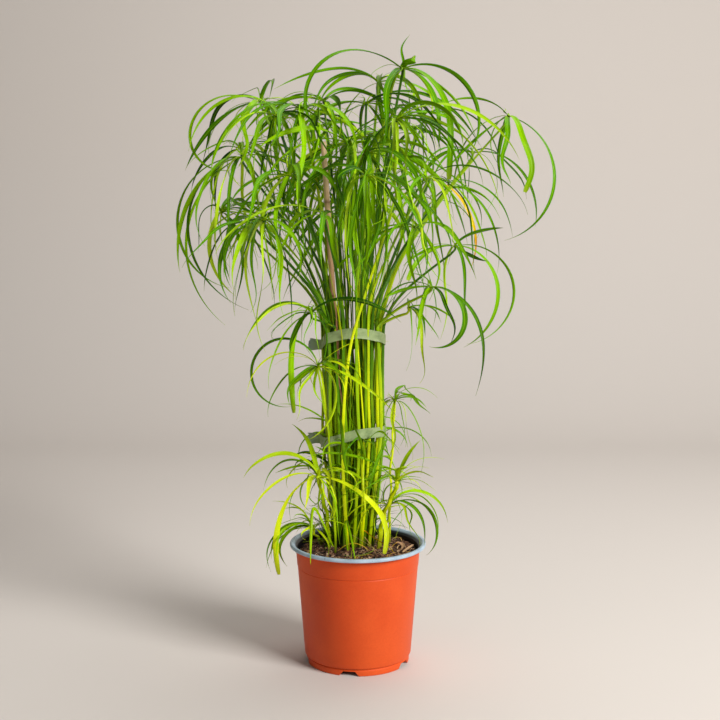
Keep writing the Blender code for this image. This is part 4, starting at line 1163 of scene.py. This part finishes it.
# %% Leaves round the foot
FOOT_LEAVES, FOOT_REACH, FOOT_SIDES, FOOT_LIMIT, FOOT_DEPTH = 80, (0.010, 0.040), (-40, 220), 0.10, 0.003
FOOT_WIDTH, FOOT_TINT_POWER = (0.0010, 0.0030), 1.6
CLIMB_LEAVES, CLIMB_SPAN, CLIMB_REACH = 66, (0.185, 0.285), (0.024, 0.036)
CLIMB_WIDTH, CLIMB_TINTS = (0.0014, 0.0056), (0.0, 0.8)
# How a leaf leans aside, rises and turns, how long it is, and its bend.
FOOT_HABIT = (-70, 70), (62, 92), (0, 150), (0.025, 0.095), 1.3
CLIMB_HABIT = (-110, 110), (40, 85), (60, 190), (0.035, 0.095), 0.9
# A leaf over the rim: its width, its tint and its age, then the places it passes, in millimetres.
RIM_LEAVES = [
    (4.4, 0.55, 0, [(-30, -20, 150), (-48, -36, 200), (-55.5, -52, 208), (-56, -64, 178), (-56.2, -69, 158),
                    (-56.5, -70, 141)]),
    (4.2, 0.30, 0, [(-12, -30, 148), (-15, -45, 188), (-13, -58, 190), (-7, -76, 172), (-3, -87, 153.5)]),
    (4, 1, 1, [(7.5, -36, 174), (26, -42, 163), (44, -36, 148)]),
]


def leaf_from(root, bearing, leans, rises, turns, lengths, bend):
    """A leaf's line from its root by its habit, and the way that it leans."""
    lean = bearing + draw.uniform(*leans)
    path = bract_path(root, lean, draw.uniform(*rises), draw.uniform(*turns), draw.uniform(*lengths), bend)
    return path, lean


thicket = Strands()
for _ in range(FOOT_LEAVES):
    bearing, out = draw.uniform(*FOOT_SIDES), draw.uniform(*FOOT_REACH)
    x, y = bundle_axis(SOIL_TOP) + compass(math.radians(bearing)) * out
    root = np.array([x, y, peat_height(x, y) - FOOT_DEPTH])
    path, lean = leaf_from(root, bearing, *FOOT_HABIT)
    if path[1:, 2].min() > root[2] and np.hypot(path[:, 0], path[:, 1]).max() < FOOT_LIMIT:
        width, tint = draw.uniform(*FOOT_WIDTH), draw.uniform(0.0, 1.0) ** FOOT_TINT_POWER
        grow_blade(thicket, draw, path, lean, width, 0.0, tint, rings=16)
for _ in range(CLIMB_LEAVES):
    bearing, height = draw.uniform(0, 360), draw.uniform(*CLIMB_SPAN)
    root = bundle_axis(height) + compass(math.radians(bearing)) * draw.uniform(*CLIMB_REACH)
    path, lean = leaf_from(np.append(root, height), bearing, *CLIMB_HABIT)
    width, tint = draw.uniform(*CLIMB_WIDTH), draw.uniform(*CLIMB_TINTS)
    grow_blade(thicket, draw, path, lean, width, 0.0, tint, rings=18, tries=3)
for width, tint, age, points in RIM_LEAVES:
    grow_blade(thicket, draw, through(points), 0, width / 1000, 0.0, tint, age, rings=40, tries=HAND_TRIES)
keep(thicket.finish("foot_thicket", stem_skin, young_blade), "young_shoot")

# %% [markdown]
# ## The tapes
# Two soft plastic tapes hold the bundle. Each is a thin band that runs straight from one outer stem to the
# next, so its line is the hull of the stems at its height. Its two ends are pressed together on the left in
# a short tail with ragged ends, painted paler towards the ends as sheen. The outside is sage green, and the
# inside is painted nearly black as deep shade, except close to the tail.

# %% The finish of the tape
tape_plastic, tree, shader = new_finish("tape_plastic", 0.42)
lines, _ = lined(tree, 5.0, 60.0)
cloud = mottled(tree, 70.0, 0.25)
colour = mix(tree, cloud, tone(104, 124, 76), tone(156, 172, 118))
colour = tinge(tree, colour, lines, 0.3, (166, 182, 128))
# Painted sheen: the tail turns pale towards its ends.
colour = mix(tree, written(tree, "tint"), colour, tone(160, 176, 164))
# Painted shade: the inside of the band goes nearly black, away from the tail.
colour = mix(tree, written(tree, "age"), colour, tone(16, 18, 14))
dress(tree, shader, colour, cloud, 0.0012, 0.5)

# %% Winding a tape round the stems
TAPE_ROWS = np.array([-1.0, -0.5, 0.0, 0.5, 1.0])
TAPE_SECTION = np.concatenate([TAPE_ROWS, TAPE_ROWS[::-1]])
TAPE_OUTER = np.array([1, 1, 1, 1, 1, 0, 0, 0, 0, 0])
TAPE_SHEET, TAPE_WIDTH, TAPE_STEPS = 0.0005, 0.0125, 150
HULL_DIRECTIONS, HULL_ROOM, HULL_ROUNDS = 360, 1.3, 6
TAPE_CRUMPLE, CRUMPLE_ALONG, CRUMPLE_ACROSS = 0.0011, 26, 0.9
TAPE_TAIL, TAIL_STEPS, TAIL_GAP, TAIL_SPLAY, TAIL_RAGGED = 0.014, 8, 0.0008, 0.0035, 0.0018
# The tail's root and narrowing, how pale its painted sheen is, and where painted shade on the inside begins.
TAIL_ROOT, TAIL_NARROWER, TAIL_SHEEN, SHADE_FROM = 0.002, 0.35, 0.8, 0.6
# A tape's line: its middle height, then how much it rises to the right, to the back and to both sides.
LOWER_TAPE, UPPER_TAPE = (0.2905, 0.008, 0.006, -0.005), (0.4035, 0.0015, -0.0105, -0.002)


def hull_of_stems(height):
    """The line round every stem of the bundle at a height, from the left and back to it."""
    places = np.array([read_off(line[:, :2], line[:, 2], [height])[0] for line, _ in plants[:CULMS]])
    turns = math.pi + np.linspace(0.0, math.tau, HULL_DIRECTIONS, endpoint=False)
    ways = np.stack([np.cos(turns), np.sin(turns)], axis=1)
    return places[(places @ ways.T).argmax(axis=0)] + ways * (CULM_RADII[0] * HULL_ROOM)


def wind_tape(name, tape, node, seed):
    """A band round the bundle, with a tail on the left."""
    middle, right, back, sides = tape
    draw = np.random.default_rng(seed)
    ring = hull_of_stems(middle)
    x, y = bundle_axis(middle)
    for _ in range(HULL_ROUNDS):
        ring = (ring + np.roll(ring, 1, axis=0) + np.roll(ring, -1, axis=0)) / 3
    tail = ring[0, 0] - np.linspace(TAPE_TAIL, TAIL_ROOT, TAIL_STEPS)
    start, close = (np.stack([tail, np.full(TAIL_STEPS, ring[0, 1] + side * TAIL_GAP)], axis=1)
                    for side in (-1, 1))
    flat = np.vstack([start, ring[2:-1], close[::-1]])
    gone = np.concatenate([[0], np.cumsum(np.linalg.norm(np.diff(flat, axis=0), axis=1))])
    even = np.linspace(0, gone[-1], TAPE_STEPS)
    flat = read_off(flat, gone, even)
    turn = np.arctan2(flat[:, 1] - y, flat[:, 0] - x)
    height = middle + right * np.cos(turn) + back * np.sin(turn) + sides * np.cos(2 * turn)
    along = unit(np.gradient(flat, axis=0))
    out = np.stack([along[:, 1], -along[:, 0]], axis=1)
    crumple = np.array([[noise.noise(Vector((step * CRUMPLE_ALONG, row * CRUMPLE_ACROSS, seed)))
                         for row in TAPE_ROWS] for step in even]) * TAPE_CRUMPLE
    push = TAPE_OUTER * TAPE_SHEET + np.concatenate([crumple, crumple[:, ::-1]], axis=1)
    rings = np.empty((TAPE_STEPS, len(TAPE_SECTION), 3))
    rings[..., :2] = flat[:, None] + out[:, None] * push[..., None]
    distance = np.minimum(even, even[-1] - even)
    tail_share = np.clip(1 - distance / TAPE_TAIL, 0, 1)
    splay = np.where(even < even[-1] / 2, 1, -1) * TAIL_SPLAY * tail_share**2
    tall = TAPE_WIDTH / 2 * (1 - TAIL_NARROWER * tail_share**4)
    rings[..., 2] = (height + splay)[:, None] + TAPE_SECTION * tall[:, None]
    ragged = draw.uniform(-TAIL_RAGGED, TAIL_RAGGED, len(TAPE_ROWS))
    ragged = np.concatenate([ragged, ragged[::-1]])
    rings[0, :, 0] += ragged
    rings[-1, :, 0] -= ragged
    strands = Strands()
    strands.add(rings, (TAPE_SECTION + 1) / 2, 0.0)
    # Painted sheen on the tail, carried by the tint.
    strands.tints = [np.repeat(tail_share * TAIL_SHEEN, len(TAPE_SECTION))]
    # Painted shade on the inside, carried by the age value and kept off near the tail.
    shade = np.clip(distance / TAPE_TAIL - SHADE_FROM, 0, 1)
    strands.ages = [(np.tile(1.0 - TAPE_OUTER, (TAPE_STEPS, 1)) * shade[:, None]).ravel()]
    keep(strands.finish(name, tape_plastic, sharp=40), "tape", node)


wind_tape("tape_band_lower", LOWER_TAPE, "tape_lower", 3)
wind_tape("tape_band_upper", UPPER_TAPE, "tape_upper", 8)

# %% [markdown]
# ## The cane
# A thin bamboo cane stands among the stems, with raised knots and fine fibres. It is tan above and redder
# below, and its lower part is also darkened as painted shade where it stands among the stems.

# %% Bamboo
foot, top = Vector(CANE_FOOT), Vector(CANE_TOP)
cane_turn = Vector((0, 0, 1)).rotation_difference(top - foot)
bamboo, tree, shader = new_finish("dry_bamboo", 0.5)
place = put(tree, "Mapping", {"Vector": on_object(tree), "Location": foot, "Rotation": cane_turn.to_euler(),
                              "Scale": (1.0, 1.0, 22.0)}, vector_type="TEXTURE").outputs[0]
fibre = mottled(tree, 900.0, 0.2, place)
# Tan above and redder below. The darker lower end is partly painted shade from the stems round it.
colour = ramp(tree, spread_over(tree, height_of(tree), 0.42, 0.60), (0.0, 196, 136, 94), (1.0, 246, 212, 160))
for share, strength, tint in ((fibre, 0.35, (120, 76, 48)), (mottled(tree, 40.0, 0.25), 0.25, (170, 120, 84)),
                              (written(tree, "knot"), 0.6, (104, 66, 42))):
    colour = tinge(tree, colour, share, strength, tint)
dress(tree, shader, colour, fibre, 0.0003, 0.5)

# A knot's rings and the cane's hollow end: heights from the knot or the top, and shares of the radius.
CANE_SIDES, CANE_KNOTS, KNOT_STAIN = 20, (0.235, 0.345, 0.462, 0.575), 0.003
KNOT_RINGS = [(-0.0045, 1.0), (-0.0016, 1.06), (-0.0006, 1.22), (0.0, 1.08), (0.0006, 1.18), (0.0014, 1.02),
              (0.0045, 0.97)]
END_RINGS = [(-0.0004, 0.95), (0.0, 0.88), (0.0, 0.6), (-0.004, 0.5)]
rings = [(CANE_RADIUS * share, knot - foot.z + rise) for knot in CANE_KNOTS for rise, share in KNOT_RINGS]
rings += [(CANE_RADIUS * share, (top - foot).length + rise) for rise, share in END_RINGS]
cane = begin("cane_bamboo", CANE_RADIUS, 0.0, CANE_SIDES)
raise_rings(rings, CANE_RADIUS, 0.0)
write_values(cane.data, "knot", [
    max(0.0, 1 - min(abs(point.co.z + foot.z - knot) for knot in CANE_KNOTS) / KNOT_STAIN)
    for point in cane.data.vertices])
cane.rotation_mode = "QUATERNION"
cane.rotation_quaternion, cane.location = cane_turn, foot
bpy.ops.object.transform_apply(location=True, rotation=True, scale=True)
soften(cane, 40, bamboo)
keep(cane, "bamboo", "bamboo_cane")

# %% [markdown]
# ## What has fallen
# Dry straws, curled brown leaves, an orange strand and a few fallen green ones lie on the peat or lean on
# the stems. Each runs through a few places, with its own width and colour. Short ones are strewn about.

# %% Dry leaves and fallen strands
litter_skin, tree, shader = new_finish("dry_and_fallen", 0.6)
lines, _ = lined(tree, 10.0, 4.0)
colour = ramp(tree, written(tree, "tint"), (0.0, 168, 116, 86), (0.2, 214, 176, 128), (0.5, 240, 184, 30),
              (0.75, 206, 212, 50), (1.0, 96, 160, 24))
dress(tree, shader, tinge(tree, colour, lines, 0.35, (110, 76, 30)), lines, 0.0004, 0.6)

# A strand: its width, its tint, then the places it passes, in millimetres.
LITTER = [
    (0.9, 0.25, [(-7.3, -40, 170), (12.7, -43, 159), (30, -40, 145)]),
    (0.9, 0.30, [(7.7, -40, 168), (17.8, -44, 156), (22.9, -40, 145)]),
    (5, 0.08, [(49.4, 12, 147), (58, 6, 145), (56.2, -12, 144.5), (49.7, -20, 144)]),
    (4.5, 0.12, [(55.7, -25, 144), (66.3, -8, 146.5), (70, 4, 146)]),
    (1.2, 0.80, [(-71, 20, 144), (-60, 12, 148), (-40, 6, 150)]),
    (1.2, 0.85, [(-70, 24, 144), (-54.4, 20, 146.1), (-35.3, 18, 146.6)]),
    (1.6, 0.55, [(-24.6, -16, 143.1), (-15.9, -14, 150), (-3.5, -14, 153), (7.7, -16, 149),
                 (16.3, -20, 143.1)]),
    (1.2, 0.90, [(-17, -38, 144), (-7, -47, 145), (8, -44, 146), (20, -25, 146), (20, -6, 145),
                 (14, 8, 144)]),
]
STREWN, STREWN_REACH, STREWN_LENGTH, STREWN_BEND = 60, 0.93, (0.008, 0.028), 0.8
STREWN_HALF, STREWN_LIFT, STREWN_ARCH, STREWN_TINTS = (0.0002, 0.0008), 0.0010, (0.0, 0.003), (0.0, 0.6)
LITTER_FOLD, LITTER_TWIST, STREWN_FOLD, STREWN_TWIST = math.radians(20), (-50, 50), 0.3, (-2, 2)


def level_side(path):
    """The level direction square to a path."""
    way = np.gradient(path, axis=0)
    return unit(np.stack([-way[:, 1], way[:, 0], np.zeros(len(path))], axis=1))


litter = Strands()
for width, tint, points in LITTER:
    path = through(points, 3)
    share = np.linspace(0, 1, len(path))
    half = width / 2000 * np.maximum(np.sin(np.clip(share * 1.1 + 0.05, 0, 1) * math.pi) ** 0.5, 0.15)
    twist = math.radians(draw.uniform(*LITTER_TWIST)) * share
    litter.add_blade(path, level_side(path), half, LITTER_FOLD, twist, tint)
for _ in range(STREWN):
    place = on_disc(draw, SOIL_RADIUS * STREWN_REACH)
    heading, length = draw.uniform(0, math.tau), draw.uniform(*STREWN_LENGTH)
    path, share, on_bed = lying(place, heading, length, draw.uniform(-STREWN_BEND, STREWN_BEND), 8)
    if on_bed:
        path[:, 2] += STREWN_LIFT + draw.uniform(*STREWN_ARCH) * (1 - (2 * share) ** 2)
        half = draw.uniform(*STREWN_HALF) * (1 - (2 * share) ** 4 * 0.7)
        twist = share * draw.uniform(*STREWN_TWIST)
        litter.add_blade(path, level_side(path), half, STREWN_FOLD, twist, draw.uniform(*STREWN_TINTS))
keep(litter.finish("dry_and_fallen", litter_skin), "young_shoot")

# %% [markdown]
# ## Floor and light
# A plain pale floor runs back and curves up behind the plant, with no edge in sight. One large soft lamp
# stands to the right and in front, as the photograph's window does, and a weak one fills the left.

# %% A floor that curves up behind
FLOOR_SIZE, FLOOR_DROP, WALL_AT, WALL_HEIGHT, SWEEP, SWEEP_STEPS = 16.0, 0.0002, 2.2, 4.0, 0.8, 16


def at_back(edge):
    """Whether an edge of the floor lies along its back, on the ground."""
    ends = [floor.data.vertices[index].co for index in edge.vertices]
    return all(end.y > 0 and end.z < 1 for end in ends)


bpy.ops.object.select_all(action="DESELECT")
bpy.ops.mesh.primitive_plane_add(size=FLOOR_SIZE, location=(0, WALL_AT - FLOOR_SIZE / 2, -FLOOR_DROP))
floor = bpy.context.object
floor.name = "studio_floor"
pick(floor, "EDGE", at_back)
draw_up(WALL_HEIGHT)
mode("OBJECT")
pick(floor, "EDGE", at_back)
bpy.ops.mesh.bevel(offset=SWEEP, segments=SWEEP_STEPS, affect="EDGES")
mode("OBJECT")
bpy.ops.object.transform_apply(location=True)
bpy.ops.object.shade_smooth()
paper, tree, shader = new_finish("studio_paper", 0.9)
shader.inputs["Base Color"].default_value = tone(206, 198, 190)
floor.data.materials.append(paper)

# %% Soft light from the right and the front
LAMPS = (("key", (2.45, -2.15, 2.05), 1.5, 188.0), ("fill", (-1.6, -1.5, 0.9), 1.6, 4.0),
         ("top", (0.3, 0.5, 2.2), 1.2, 18.0))
AIM = Vector((0.0, 0.0, 0.40))
SKY, SKY_STRENGTH = (1.0, 0.98, 0.95, 1.0), 0.12

for name, place, size, power in LAMPS:
    lamp = bpy.data.objects.new(name, bpy.data.lights.new(name, "AREA"))
    bpy.context.scene.collection.objects.link(lamp)
    lamp.location = place
    lamp.rotation_euler = (AIM - Vector(place)).to_track_quat("-Z", "Y").to_euler()
    lamp.data.size, lamp.data.energy = size, power
world = bpy.data.worlds.new("studio")
bpy.context.scene.world = world
world.use_nodes = True
background = world.node_tree.nodes["Background"].inputs
background["Color"].default_value, background["Strength"].default_value = SKY, SKY_STRENGTH
